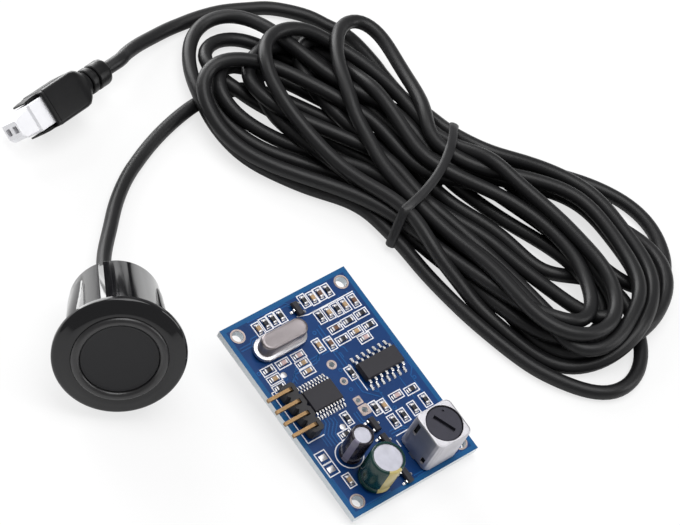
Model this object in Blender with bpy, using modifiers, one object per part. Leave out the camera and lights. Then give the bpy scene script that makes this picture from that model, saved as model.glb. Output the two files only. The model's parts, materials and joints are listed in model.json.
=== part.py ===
"""Ultrasonic distance sensor: a round probe moulded onto its bundled cable, and its control board.

Metres, +Z up, floor at z = 0, origin under the middle of the probe and board. Three frames carry the pieces:
the board's (x along its length, z up from its underside), the probe's (z out of its face) and the plug's
(x from its tip towards the cable).
"""

import math

import bmesh
import bpy
from mathutils import Matrix, Vector

MM = 0.001

# Clearances
SEAT_GAP = 0.3 * MM
PIN_GAP = 0.15 * MM
SOLDER_GAP = 0.15 * MM

# Circuit board
BOARD_LENGTH = 41.0 * MM
BOARD_WIDTH = 28.5 * MM
BOARD_THICKNESS = 1.6 * MM
MOUNT_HOLE_RADIUS = 1.05 * MM
MOUNT_HOLE_INSET = 2.4 * MM
STUB_LENGTH = 1.3 * MM
LEAD_RADIUS = 0.3 * MM
# Plated holes that nothing is soldered into: place along and across the board, and radius
EMPTY_HOLES = (
    (BOARD_LENGTH / 2 - 5.5 * MM, 0.5053 * BOARD_WIDTH, 0.5 * MM),
    (BOARD_LENGTH / 2 + 4.5 * MM, 0.5053 * BOARD_WIDTH, 0.5 * MM),
    (BOARD_LENGTH / 2 - 1.8 * MM, 0.5053 * BOARD_WIDTH, 0.4 * MM),
    (BOARD_LENGTH / 2 + 2.5 * MM, 0.5053 * BOARD_WIDTH, 0.4 * MM),
)

# Quartz crystal
CRYSTAL_CENTRE = (7.1 * MM, 0.2877 * BOARD_WIDTH)
CRYSTAL_BASE = (11.1 * MM, 4.7 * MM, 0.7 * MM)
CRYSTAL_CAN = (10.2 * MM, 3.8 * MM, 3.0 * MM)
CRYSTAL_LEAD_PITCH = 4.9 * MM

# Chips with legs: centre, body (across the legs, along them, height), legs a side, pitch, leg width, span
MICROCONTROLLER = ((BOARD_LENGTH / 2 - 1.5 * MM, 8.7 * MM), (4.4 * MM, 6.5 * MM, 1.0 * MM),
                   10, 0.65 * MM, 0.26 * MM, 6.4 * MM)
AMPLIFIER = ((BOARD_LENGTH / 2 - 1.2 * MM, 0.7719 * BOARD_WIDTH), (3.9 * MM, 8.65 * MM, 1.45 * MM),
             7, 1.27 * MM, 0.42 * MM, 6.0 * MM)
CHIP_LIFT = 0.1 * MM
CHIP_DRAFT = 0.14 * MM
DIMPLE_INSET = 0.9 * MM
DIMPLE_RADIUS = 0.35 * MM
LEG_THICKNESS = 0.18 * MM
TRANSISTOR_BODY = (1.3 * MM, 2.9 * MM, 0.95 * MM)
TRANSISTOR_SPAN = 2.5 * MM
TRANSISTOR_LEG_WIDTH = 0.42 * MM
TRANSISTOR_LEG_PITCH = 1.9 * MM
TRANSISTORS = (
    (3.2 * MM, 0.5298 * BOARD_WIDTH, -90.0), (BOARD_LENGTH - 12.7 * MM, 0.4842 * BOARD_WIDTH, 90.0),
    (BOARD_LENGTH - 9.1 * MM, 0.4842 * BOARD_WIDTH, 90.0),
    (BOARD_LENGTH - 1.9 * MM, 0.4561 * BOARD_WIDTH, 90.0),
)

# Pin header
HEADER_PINS = 4
HEADER_PITCH = 2.54 * MM
HEADER_FIRST_PIN = BOARD_LENGTH / 2 - 4.3 * MM
HEADER_LINE = 3.05 * MM
HEADER_HEIGHT = 2.54 * MM
HEADER_CHAMFER = 0.45 * MM
PIN_WIDTH = 0.64 * MM
PIN_RISE = 3.2 * MM
PIN_BEND = 0.55 * MM
PIN_OVERHANG = 2.2 * MM

# Electrolytic capacitors: centre, sleeve radius, height, lead pitch
SMALL_CAPACITOR = ((BOARD_LENGTH - 10.3 * MM, 0.2316 * BOARD_WIDTH), 2.15 * MM, 7.8 * MM, 1.5 * MM)
LARGE_CAPACITOR = ((BOARD_LENGTH - 4.5 * MM, 0.2737 * BOARD_WIDTH), 3.2 * MM, 8.2 * MM, 2.5 * MM)
SLEEVE_WALL = 0.2 * MM
SLEEVE_LIP = 0.45 * MM
SLEEVE_EDGE = 0.4 * MM
CAN_EDGE = 0.4 * MM
CAN_DISH_RIM = 0.75 * MM
CAN_DISH_DEPTH = 0.1 * MM
CAN_GROOVE = 0.25 * MM

# Tunable transformer
TRANSFORMER_CENTRE = (BOARD_LENGTH - 4.65 * MM, 0.7123 * BOARD_WIDTH)
SHIELD_SIDE = 7.6 * MM
SHIELD_TOP = 9.2 * MM
SHIELD_WALL = 0.35 * MM
SHIELD_CORNER = 1.1 * MM
SHIELD_LUG = (1.3 * MM, 0.35 * MM, 0.9 * MM)
SHIELD_WINDOW = (0.9 * MM, 3.2 * MM)
CORE_RADIUS = 3.35 * MM
CORE_TOP = 9.0 * MM
CORE_SKIRT = 6.2 * MM
CORE_WALL = 0.5 * MM
CORE_ROOF = 1.6 * MM
CORE_SLOT = (4.4 * MM, 0.8 * MM, 0.8 * MM)
CORE_DIMPLE = 0.25 * MM
FORMER_HALF = 3.2 * MM
FORMER_PLATE = 1.2 * MM
FORMER_TOP = 7.4 * MM
PIN_ROW = 2.45 * MM
PIN_SPACING = 2.25 * MM
DRUM_FLANGE = 2.5 * MM
DRUM_POST = 1.2 * MM
DRUM_WINDOW = 3.0 * MM
DRUM_PLATE = 0.6 * MM
WINDING_RADIUS = 2.3 * MM
WINDING_TURNS = 5

# Probe socket under the board
SOCKET_LENGTH = 9.0 * MM
SOCKET_WIDTH = 7.4 * MM
SOCKET_HEIGHT = 6.1 * MM
SOCKET_SETBACK = 0.3 * MM
SOCKET_DEPTH = 7.0 * MM
CONTACT_PITCH = 2.5 * MM

# Probe. Its radii follow from the transducer's cup outwards: rubber sleeve, barrel wall, ring, flange.
CUP_RADIUS = 6.9 * MM
CUP_LENGTH = 9.3 * MM
CUP_WALL = 0.8 * MM
CUP_MEMBRANE = 0.7 * MM
CUP_FRONT = 0.1 * MM
SLEEVE_THICKNESS = 0.4 * MM
SLEEVE_BORE = CUP_RADIUS + PIN_GAP + SLEEVE_THICKNESS + PIN_GAP
BARREL_RADIUS = SLEEVE_BORE + 0.8 * MM
REAR_RADIUS = BARREL_RADIUS - 0.4 * MM
REAR_BORE = CUP_RADIUS
RING_RADIUS = BARREL_RADIUS + 0.05 * MM
RING_PROUD = 0.5 * MM
RING_SEAT_DEPTH = 1.2 * MM
FLANGE_RADIUS = RING_RADIUS + SEAT_GAP + 3.0 * MM
FLANGE_THICKNESS = 1.9 * MM
FACE_CONE = 0.45 * MM
PROBE_LENGTH = 18.97 * MM
SHOULDER_DEPTH = 10.2 * MM
PIEZO = (3.6 * MM, 0.35 * MM)
DAMPING_PAD = (3.2 * MM, 1.3 * MM)
POTTING_LENGTH = 7.0 * MM
WIRE_RADIUS = 0.35 * MM
WING_ANGLE = 70.0
WING_SLOT_ANGLE = 3.0
WING_RISE = BARREL_RADIUS + 1.1 * MM
WING_FREE_END = 3.6 * MM
WING_ROOT = 16.2 * MM
WING_THICKNESS = 0.8 * MM
NOTCH = (1.0 * MM, 1.8 * MM)
NOTCH_ANGLE = 124.0

# Cable and what is on it
CABLE_RADIUS = 1.35 * MM
CABLE_OFFSET = 2.0 * MM
CABLE_OFFSET_ANGLE = 161.0
HANK_HEIGHT = 8.4 * MM
TIE_WIDTH = 2.4 * MM
TIE_THICKNESS = 0.9 * MM
HOUSING_HALF = (2.75 * MM, 3.0 * MM)
NOSE_HALF_HEIGHT = 2.5 * MM
NOSE_LENGTH = 3.6 * MM
NOSE_SECTIONS = ((0.0, -1.5, 1.6), (0.7, -2.2, 1.9), (3.6, -2.4, 2.5))
BOOT_WALL = 0.65 * MM
BOOT_ROUND = 0.5 * MM
BOOT_LIP = 7.0 * MM
BOOT_POCKET = 5.0 * MM
BOOT_SHOULDER = 15.8 * MM
RELIEF_START = 18.3 * MM
RELIEF_END = 23.8 * MM
RELIEF_RADIUS = 2.6 * MM
RELIEF_GROOVE = 0.45 * MM
ARM_TIP = 1.4 * MM
ARM_HALF_HEIGHT = 2.2 * MM
CONTACT_BOX = 1.1 * MM
CONTACT_BORE = 0.8 * MM
CONTACT_LENGTH = 6.0 * MM

# Where the three frames lie on the floor
BOARD_CORNER = (-10.03 * MM, 0.97 * MM)
PROBE_PLACE = (-11.76 * MM, -20.26 * MM)
PROBE_AZIMUTH = -37.1
PROBE_ELEVATION = 19.55
PROBE_ROLL = 89.0
PLUG_PLACE = (-67.30 * MM, -1.54 * MM)
PLUG_HEADING = 98.65
PLUG_ROLL = 32.0

# The cable's route on the floor, in mm, chosen by hand: each lead's points after its exit
PROBE_LEAD = (
    (-36.1, -3.8, 4.6), (-41.5, 1.8, 3.3), (-46.1, 6.8, 2.4), (-49.9, 12.0, 1.8), (-53.2, 18.2, 1.5),
    (-55.7, 24.6, 1.4), (-57.0, 29.4, 1.4), (-57.9, 34.0, 1.4),
)
PLUG_LEAD = (
    (-72.6, 28.4, 4.3), (-73.9, 32.2, 3.2), (-74.8, 36.8, 2.2), (-75.3, 41.0, 1.6), (-74.9, 46.2, 1.4),
)
# The hank's outline, in mm, anticlockwise from the end where the probe's lead comes out
HANK_OUTLINE = (
    (-57.7, 34.8), (-50.8, 33.2), (-43.5, 33.8), (-35.6, 37.1), (-27.1, 42.4), (-15.9, 48.8), (-8.0, 50.0),
    (9.8, 53.0), (25.9, 55.0), (34.1, 56.0), (36.5, 60.0), (35.0, 66.3), (28.5, 74.3), (24.0, 83.7),
    (17.3, 88.4), (7.7, 90.5), (-3.4, 88.8), (-12.5, 82.0), (-20.3, 74.4), (-26.9, 70.6), (-36.7, 70.8),
    (-50.0, 72.8), (-59.7, 72.0), (-66.7, 68.5), (-71.9, 61.9), (-74.5, 55.4), (-73.7, 47.0), (-67.9, 39.8),
)
TIE_CENTRE = (-20.4 * MM, 59.3 * MM)
TIE_HEADING = 27.4

for leftover in list(bpy.data.objects):
    bpy.data.objects.remove(leftover)

parts = bpy.data.collections.new("ultrasonic_distance_sensor")
cutters = bpy.data.collections.new("cutters")
for collection in (parts, cutters):
    bpy.context.scene.collection.children.link(collection)


def material(name, colour, roughness, metallic=0.0):
    made = bpy.data.materials.new(name)
    made.use_nodes = True
    shader = made.node_tree.nodes["Principled BSDF"]
    shader.inputs["Base Color"].default_value = (*colour, 1.0)
    shader.inputs["Roughness"].default_value = roughness
    shader.inputs["Metallic"].default_value = metallic
    return made


SOLDER_MASK = material("solder_mask", (0.01, 0.11, 0.38), 0.4)
STEEL = material("steel_can", (0.62, 0.60, 0.59), 0.3, 1.0)
TIN = material("tinned_metal", (0.75, 0.74, 0.72), 0.25, 1.0)
GOLD = material("gold_plate", (0.72, 0.52, 0.25), 0.3, 1.0)
CHIP_PLASTIC = material("chip_plastic", (0.03, 0.03, 0.035), 0.5)
FERRITE = material("ferrite", (0.07, 0.065, 0.075), 0.6)
COPPER = material("copper_wire", (0.55, 0.22, 0.08), 0.3, 1.0)
WHITE_NYLON = material("white_nylon", (0.85, 0.85, 0.86), 0.45)
BLACK_SLEEVE = material("black_sleeve", (0.02, 0.018, 0.022), 0.35)
GREEN_SLEEVE = material("green_sleeve", (0.02, 0.09, 0.07), 0.35)
HOUSING_PLASTIC = material("housing_plastic", (0.012, 0.012, 0.013), 0.2)
RUBBER = material("rubber", (0.015, 0.015, 0.016), 0.5)
CABLE_JACKET = material("cable_jacket", (0.02, 0.02, 0.022), 0.4)
CERAMIC = material("ceramic", (0.75, 0.72, 0.65), 0.6)
RED_WIRE = material("red_wire", (0.6, 0.03, 0.02), 0.4)


def frame(name, matrix):
    """An empty that carries the pieces of one group."""
    empty = bpy.data.objects.new(name, None)
    empty.matrix_world = matrix
    parts.objects.link(empty)
    return empty


def add(name, data, finish, parent, location=(0.0, 0.0, 0.0), turn=0.0):
    """A finished piece: its node's name, its material, and its place in its group's frame."""
    obj = bpy.data.objects.new(name, data)
    if finish:
        data.materials.append(finish)
    obj.parent = parent
    obj.location = location
    obj.rotation_euler[2] = math.radians(turn)
    parts.objects.link(obj)
    return obj


def helper(name, data, parent, location=(0.0, 0.0, 0.0), turn=0.0):
    """A shape that is only cut out of a piece or joined to it."""
    obj = add(name, data, None, parent, location, turn)
    parts.objects.unlink(obj)
    cutters.objects.link(obj)
    obj.hide_render = True
    obj.display_type = "WIRE"
    return obj


def boolean(obj, other, operation):
    modifier = obj.modifiers.new(other.name, "BOOLEAN")
    modifier.operation = operation
    modifier.object = other


def mesh_of(name, build, *values):
    """The mesh that a building function fills."""
    shape = bmesh.new()
    build(shape, *values)
    bmesh.ops.recalc_face_normals(shape, faces=shape.faces[:])
    data = bpy.data.meshes.new(name)
    shape.to_mesh(data)
    shape.free()
    return data


def add_box(shape, low, high):
    middle = [(a + b) / 2 for a, b in zip(low, high)]
    size = [b - a for a, b in zip(low, high)]
    bmesh.ops.create_cube(shape, size=1.0, matrix=Matrix.Translation(middle) @ Matrix.Diagonal((*size, 1.0)))


def add_boxes(shape, corners):
    for low, high in corners:
        add_box(shape, low, high)


def add_cylinder(shape, centre, radius, low, high, segments=16):
    place = Matrix.Translation((centre[0], centre[1], (low + high) / 2))
    bmesh.ops.create_cone(shape, cap_ends=True, segments=segments, radius1=radius, radius2=radius,
                          depth=high - low, matrix=place)


def add_cylinders(shape, holes, low, high):
    for x, y, radius in holes:
        add_cylinder(shape, (x, y), radius, low, high)


def add_prism(shape, outline, low, high, place=Matrix()):
    """A flat outline raised from one height to another."""
    ring = [shape.verts.new(place @ Vector((x, y, low))) for x, y in outline]
    face = shape.faces.new(ring)
    raised = bmesh.ops.extrude_face_region(shape, geom=[face])["geom"]
    moved = [item for item in raised if isinstance(item, bmesh.types.BMVert)]
    bmesh.ops.translate(shape, verts=moved, vec=place.to_3x3() @ Vector((0.0, 0.0, high - low)))


def add_loft(shape, sections):
    """A closed body through sections of equally many points."""
    rings = [[shape.verts.new(point) for point in section] for section in sections]
    for lower, upper in zip(rings, rings[1:]):
        for index in range(len(lower)):
            after = (index + 1) % len(lower)
            shape.faces.new((lower[index], lower[after], upper[after], upper[index]))
    shape.faces.new(rings[0])
    shape.faces.new(rings[-1])


def rounded_rectangle(length, width, radius, arc_steps=4):
    """Outline points, anticlockwise, of a rectangle about the origin with round corners."""
    points = []
    for quarter, (sx, sy) in enumerate(((1, 1), (-1, 1), (-1, -1), (1, -1))):
        for step in range(arc_steps + 1):
            angle = (quarter + step / arc_steps) * math.pi / 2
            points.append((sx * (length / 2 - radius) + radius * math.cos(angle),
                           sy * (width / 2 - radius) + radius * math.sin(angle)))
    return points


def upright(outline, height):
    return [Vector((x, y, height)) for x, y in outline]


def strip_outline(path, thickness):
    """The edge of a bent strip seen from its side: the path moved half the thickness to both sides."""
    points = [Vector(point) for point in path]
    runs = [(b - a).normalized() for a, b in zip(points, points[1:])]
    left, right = [], []
    for index, point in enumerate(points):
        before = runs[max(index - 1, 0)]
        after = runs[min(index, len(runs) - 1)]
        across = Vector((-before.y - after.y, before.x + after.x)).normalized()
        reach = thickness / 2 / across.dot(Vector((-before.y, before.x)))
        left.append(point + across * reach)
        right.append(point - across * reach)
    return left + right[::-1]


# Turns an outline's second axis into height, so that a strip seen from its side stands up
STANDING = Matrix.Rotation(math.pi / 2, 4, "X")


def turned(name, profile, steps, finish, parent, location=(0.0, 0.0, 0.0)):
    """A turned piece: a profile of (radius, height) points, down its outer side, spun about Z."""
    data = bpy.data.meshes.new(name)
    closed = profile[0][0] > 0 and profile[-1][0] > 0
    count = len(profile)
    edges = [(index, (index + 1) % count) for index in range(count if closed else count - 1)]
    data.from_pydata([(radius, 0.0, height) for radius, height in profile], edges, [])
    obj = add(name, data, finish, parent, location)
    screw = obj.modifiers.new("turn", "SCREW")
    screw.steps = screw.render_steps = steps
    screw.use_merge_vertices = True
    screw.merge_threshold = 0.005 * MM
    screw.use_smooth_shade = True
    return obj


def add_sector(shape, profile, start, angle, steps):
    """A profile of (radius, height) points swept part of the way round Z, in degrees."""
    turn = Matrix.Rotation(math.radians(start), 4, "Z")
    ring = [shape.verts.new(turn @ Vector((radius, 0.0, height))) for radius, height in profile]
    face = shape.faces.new(ring)
    bmesh.ops.spin(shape, geom=[face, *face.edges, *face.verts], cent=(0, 0, 0), axis=(0, 0, 1),
                   angle=math.radians(angle), steps=steps, use_duplicate=False)


def curve_through(points, at):
    """A point of the smooth curve through the points: whole numbers are the points themselves."""
    index = min(int(at), len(points) - 2)
    part = at - index
    a = points[max(index - 1, 0)]
    b, c = points[index], points[index + 1]
    d = points[min(index + 2, len(points) - 1)]
    return 0.5 * (2 * b + (c - a) * part + (2 * a - 5 * b + 4 * c - d) * part**2
                  + (3 * b - a - 3 * c + d) * part**3)


def tube(name, route, radius, per_span, finish, parent=None):
    """A round cord or wire along the smooth curve through its route's points."""
    points = [Vector(point) for point in route]
    count = (len(points) - 1) * per_span
    data = bpy.data.curves.new(name, "CURVE")
    data.dimensions = "3D"
    data.bevel_depth = radius
    data.bevel_resolution = 2
    data.use_fill_caps = True
    spline = data.splines.new("POLY")
    spline.points.add(count)
    for index in range(count + 1):
        spline.points[index].co = (*curve_through(points, index / per_span), 1.0)
    return add(name, data, finish, parent)


def from_mm(point):
    return tuple(value * MM for value in point)


# Where the board leans: the socket's inner lower edge and the transformer's outer pins touch the floor
transformer_foot = TRANSFORMER_CENTRE[0] + PIN_ROW + LEAD_RADIUS
socket_edge = SOCKET_SETBACK + SOCKET_LENGTH
board_lean = math.atan2(SOCKET_HEIGHT + SEAT_GAP - STUB_LENGTH, transformer_foot - socket_edge)
board_height = transformer_foot * math.sin(board_lean) + STUB_LENGTH * math.cos(board_lean)
board_frame = frame("board_frame", Matrix.Translation((*BOARD_CORNER, board_height))
                    @ Matrix.Rotation(board_lean, 4, "Y"))

# The probe stands on the lowest point of its rear rim
probe_rise = math.radians(PROBE_ELEVATION)
probe_height = PROBE_LENGTH * math.sin(probe_rise) + REAR_RADIUS * math.cos(probe_rise)
probe_frame = frame("probe_frame", Matrix.Translation((*PROBE_PLACE, probe_height))
                    @ Matrix.Rotation(math.radians(PROBE_AZIMUTH), 4, "Z")
                    @ Matrix.Rotation(math.pi / 2 - probe_rise, 4, "Y")
                    @ Matrix.Rotation(math.radians(PROBE_ROLL), 4, "Z"))

# The plug lies on the edge of its boot, rolled over
BOOT_HALF = [half + SEAT_GAP + BOOT_WALL for half in HOUSING_HALF]
plug_roll = math.radians(PLUG_ROLL)
plug_height = (BOOT_ROUND + (BOOT_HALF[0] - BOOT_ROUND) * math.sin(plug_roll)
               + (BOOT_HALF[1] - BOOT_ROUND) * math.cos(plug_roll))
plug_frame = frame("plug_frame", Matrix.Translation((*PLUG_PLACE, plug_height))
                   @ Matrix.Rotation(math.radians(PLUG_HEADING), 4, "Z")
                   @ Matrix.Rotation(plug_roll, 4, "X"))

HOLE_RADIUS = LEAD_RADIUS + PIN_GAP
SEAT = BOARD_THICKNESS + SEAT_GAP
SOLDERED = BOARD_THICKNESS + SOLDER_GAP


def transformer_pins():
    """Three pins on the inner row and two on the outer one, from the transformer's centre."""
    inner = [(-PIN_ROW, row * PIN_SPACING) for row in (-1, 0, 1)]
    return inner + [(PIN_ROW, row * PIN_SPACING) for row in (-1, 1)]


def circuit_board():
    """The board, with its mounting holes, its lead holes and the slots of the shield's two lugs."""
    data = mesh_of("circuit_board", add_box, (0, 0, 0), (BOARD_LENGTH, BOARD_WIDTH, BOARD_THICKNESS))
    board = add("circuit_board", data, SOLDER_MASK, board_frame)
    mounting = [(x, y, MOUNT_HOLE_RADIUS)
                for x in (MOUNT_HOLE_INSET, BOARD_LENGTH - MOUNT_HOLE_INSET)
                for y in (MOUNT_HOLE_INSET, BOARD_WIDTH - MOUNT_HOLE_INSET)]
    holes = list(EMPTY_HOLES)
    holes += [(CRYSTAL_CENTRE[0], CRYSTAL_CENTRE[1] + side * CRYSTAL_LEAD_PITCH / 2, HOLE_RADIUS)
              for side in (-1, 1)]
    for centre, _, _, pitch in (SMALL_CAPACITOR, LARGE_CAPACITOR):
        holes += [(centre[0] + side * pitch / 2, centre[1], HOLE_RADIUS) for side in (-1, 1)]
    for x, y in transformer_pins():
        holes.append((TRANSFORMER_CENTRE[0] + x, TRANSFORMER_CENTRE[1] + y, HOLE_RADIUS))
    pin_hole = PIN_WIDTH / math.sqrt(2) + PIN_GAP
    holes += [(HEADER_FIRST_PIN + pin * HEADER_PITCH, HEADER_LINE, pin_hole) for pin in range(HEADER_PINS)]
    for name, drilled in (("mounting_holes", mounting), ("lead_holes", holes)):
        drill = mesh_of(name, add_cylinders, drilled, -BOARD_THICKNESS, 2 * BOARD_THICKNESS)
        boolean(board, helper(name, drill, board_frame), "DIFFERENCE")
    boolean(board, helper("lug_slots", mesh_of("lug_slots", add_boxes, lug_boxes(PIN_GAP, BOARD_THICKNESS)),
                          board_frame, (*TRANSFORMER_CENTRE, 0.0)), "DIFFERENCE")


def lug_boxes(margin, reach):
    """The shield's two lugs, or with a margin their slots, as boxes about the transformer's centre."""
    boxes = []
    for side in (-1, 1):
        middle = side * (SHIELD_SIDE - SHIELD_WALL) / 2
        boxes.append(((-SHIELD_LUG[0] / 2 - margin, middle - SHIELD_LUG[1] / 2 - margin,
                       -SHIELD_LUG[2] - (reach if margin else 0.0)),
                      (SHIELD_LUG[0] / 2 + margin, middle + SHIELD_LUG[1] / 2 + margin,
                       BOARD_THICKNESS + reach)))
    return boxes


def crystal():
    """A flanged base, its leads trimmed flush over the socket, and the drawn can that is welded to it."""
    length, width, height = CRYSTAL_BASE

    def base(shape):
        add_loft(shape, [upright(rounded_rectangle(width - inset, length - inset, (width - inset) / 2), z)
                         for inset, z in ((0.3 * MM, 0.0), (0.0, 0.15 * MM), (0.0, height - 0.15 * MM),
                                          (0.3 * MM, height))])

    def leads(shape):
        for side in (-1, 1):
            add_cylinder(shape, (0.0, side * CRYSTAL_LEAD_PITCH / 2), LEAD_RADIUS, -SEAT, height / 2, 10)

    obj = add("crystal_base", mesh_of("crystal_base", base), STEEL, board_frame, (*CRYSTAL_CENTRE, SEAT))
    boolean(obj, helper("crystal_leads", mesh_of("crystal_leads", leads), board_frame,
                        (*CRYSTAL_CENTRE, SEAT)), "UNION")
    length, width, height = CRYSTAL_CAN

    def can(shape):
        add_loft(shape, [upright(rounded_rectangle(width - inset, length - inset, (width - inset) / 2), z)
                         for inset, z in ((0.0, 0.0), (0.0, height - 0.45 * MM),
                                          (0.25 * MM, height - 0.12 * MM), (0.8 * MM, height))])

    add("crystal_can", mesh_of("crystal_can", can), STEEL, board_frame,
        (*CRYSTAL_CENTRE, SEAT + CRYSTAL_BASE[2] + SOLDER_GAP))


def add_leg(shape, side, along, start, span, drop, width):
    """One gull-wing leg: out of the body's side, down to the board and out along it."""
    knee = start + (span - start) * 0.35
    path = [(start - 0.4 * MM, drop), (knee, drop), (knee + 0.15 * MM, LEG_THICKNESS / 2),
            (span, LEG_THICKNESS / 2)]
    place = Matrix.Translation((0.0, along, 0.0)) @ Matrix.Rotation(0 if side > 0 else math.pi, 4, "Z")
    add_prism(shape, strip_outline(path, LEG_THICKNESS), -width / 2, width / 2, place @ STANDING)


def add_chip_body(shape, across, along, height):
    """A moulded body whose four sides draw in above and below the legs."""
    add_loft(shape, [upright(rounded_rectangle(across - 2 * inset, along - 2 * inset, CHIP_LIFT / 2, 1), z)
                     for inset, z in ((CHIP_DRAFT, CHIP_LIFT), (0.0, CHIP_LIFT + height / 2),
                                      (CHIP_DRAFT, CHIP_LIFT + height))])


def legged_chip(name, chip):
    """A moulded chip with a row of legs on each long side and a dimple at its first leg."""
    centre, (across, along, height), count, pitch, width, span = chip

    def legs(shape):
        for side in (-1, 1):
            for leg in range(count):
                add_leg(shape, side, (leg - (count - 1) / 2) * pitch, across / 2, span / 2,
                        CHIP_LIFT + height / 2, width)

    body = mesh_of(name, add_chip_body, across, along, height)
    obj = add(name, body, CHIP_PLASTIC, board_frame, (*centre, SOLDERED))
    boolean(obj, helper(name + "_legs", mesh_of(name + "_legs", legs), board_frame, (*centre, SOLDERED)),
            "UNION")
    corner = (DIMPLE_INSET - across / 2, DIMPLE_INSET - along / 2)
    dimple = mesh_of(name + "_dimple", add_cylinder, corner, DIMPLE_RADIUS, height, 2 * height, 12)
    boolean(obj, helper(name + "_dimple", dimple, board_frame, (*centre, SOLDERED)), "DIFFERENCE")


def transistors():
    """Four small moulded transistors: two legs on one side, one on the other."""
    across, along, height = TRANSISTOR_BODY

    def legs(shape):
        for side, offset in ((-1, -0.5), (-1, 0.5), (1, 0.0)):
            add_leg(shape, side, offset * TRANSISTOR_LEG_PITCH, across / 2, TRANSISTOR_SPAN / 2,
                    CHIP_LIFT + height / 2, TRANSISTOR_LEG_WIDTH)

    for number, (x, y, turn) in enumerate(TRANSISTORS, 1):
        name = f"transistor_{number}"
        place = (x, y, SOLDERED)
        obj = add(name, mesh_of(name, add_chip_body, across, along, height), CHIP_PLASTIC, board_frame,
                  place, turn)
        boolean(obj, helper(name + "_legs", mesh_of(name + "_legs", legs), board_frame, place, turn), "UNION")


def pin_header():
    """A black block with chamfered waists between its pins, and pins bent over towards the board's edge."""
    first = HEADER_FIRST_PIN - HEADER_PITCH / 2
    near, far = HEADER_LINE - HEADER_HEIGHT / 2, HEADER_LINE + HEADER_HEIGHT / 2
    low_side, high_side = [], []
    for pin in range(HEADER_PINS):
        left, right = first + pin * HEADER_PITCH, first + (pin + 1) * HEADER_PITCH
        low_side += [(left, near + HEADER_CHAMFER), (left + HEADER_CHAMFER, near),
                     (right - HEADER_CHAMFER, near)]
        high_side += [(left, far - HEADER_CHAMFER), (left + HEADER_CHAMFER, far),
                      (right - HEADER_CHAMFER, far)]
    end = first + HEADER_PINS * HEADER_PITCH
    outline = low_side + [(end, near + HEADER_CHAMFER), (end, far - HEADER_CHAMFER)] + high_side[::-1]
    block = add("header_block", mesh_of("header_block", add_prism, outline, SEAT, SEAT + HEADER_HEIGHT),
                CHIP_PLASTIC, board_frame)
    half = PIN_WIDTH / 2 + PIN_GAP
    lines = [HEADER_FIRST_PIN + pin * HEADER_PITCH for pin in range(HEADER_PINS)]
    bores = [((x - half, HEADER_LINE - half, 0.0), (x + half, HEADER_LINE + half, 2 * SEAT + HEADER_HEIGHT))
             for x in lines]
    boolean(block, helper("header_bores", mesh_of("header_bores", add_boxes, bores), board_frame),
            "DIFFERENCE")
    top = BOARD_THICKNESS + PIN_RISE
    bend = [(-HEADER_LINE + PIN_BEND * (1 - math.cos(angle)), top - PIN_BEND * (1 - math.sin(angle)))
            for angle in (step * math.pi / 8 for step in range(5))]
    path = [(-HEADER_LINE, -STUB_LENGTH), *bend, (PIN_OVERHANG, top)]
    standing = Matrix.Rotation(-math.pi / 2, 4, "Z") @ STANDING
    for number, x in enumerate(lines, 1):
        name = f"header_pin_{number}"
        pin = mesh_of(name, add_prism, strip_outline(path, PIN_WIDTH), -PIN_WIDTH / 2, PIN_WIDTH / 2,
                      standing)
        add(name, pin, GOLD, board_frame, (x, 0.0, 0.0))


def capacitor(name, size, sleeve_finish):
    """An aluminium can, closed by its seal with two leads, in a shrunk sleeve that folds over its rim."""
    centre, radius, height, pitch = size
    inner = radius - SLEEVE_WALL
    can_radius = inner - PIN_GAP
    top = height - SLEEVE_WALL - PIN_GAP
    groove = 0.18 * radius
    can = turned(name + "_can",
                 [(0.0, top - CAN_DISH_DEPTH), (can_radius - CAN_DISH_RIM, top - CAN_DISH_DEPTH),
                  (can_radius - 0.8 * CAN_DISH_RIM, top), (can_radius - 0.9 * CAN_EDGE, top),
                  (can_radius - 0.25 * CAN_EDGE, top - 0.3 * CAN_EDGE), (can_radius, top - CAN_EDGE),
                  (can_radius, groove * 3 + SEAT_GAP), (can_radius - CAN_GROOVE, groove * 2.3 + SEAT_GAP),
                  (can_radius, groove * 1.6 + SEAT_GAP), (can_radius, CAN_EDGE / 2 + SEAT_GAP),
                  (can_radius - CAN_EDGE / 2, SEAT_GAP), (0.0, SEAT_GAP)],
                 24, STEEL, board_frame, (*centre, BOARD_THICKNESS))

    def leads(shape):
        for side in (-1, 1):
            add_cylinder(shape, (side * pitch / 2, 0.0), LEAD_RADIUS, -BOARD_THICKNESS - STUB_LENGTH,
                         SEAT_GAP + groove, 10)

    boolean(can, helper(name + "_leads", mesh_of(name + "_leads", leads), board_frame,
                        (*centre, BOARD_THICKNESS)), "UNION")
    turned(name + "_sleeve",
           [(can_radius - SLEEVE_LIP, height), (radius - 0.9 * SLEEVE_EDGE, height),
            (radius - 0.2 * SLEEVE_EDGE, height - 0.3 * SLEEVE_EDGE), (radius, height - SLEEVE_EDGE),
            (radius, SEAT_GAP), (inner, SEAT_GAP), (inner, height - 1.1 * SLEEVE_EDGE),
            (inner - 0.5 * SLEEVE_EDGE, height - SLEEVE_WALL), (can_radius - SLEEVE_LIP, height - SLEEVE_WALL)],
           24, sleeve_finish, board_frame, (*centre, BOARD_THICKNESS))


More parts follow.
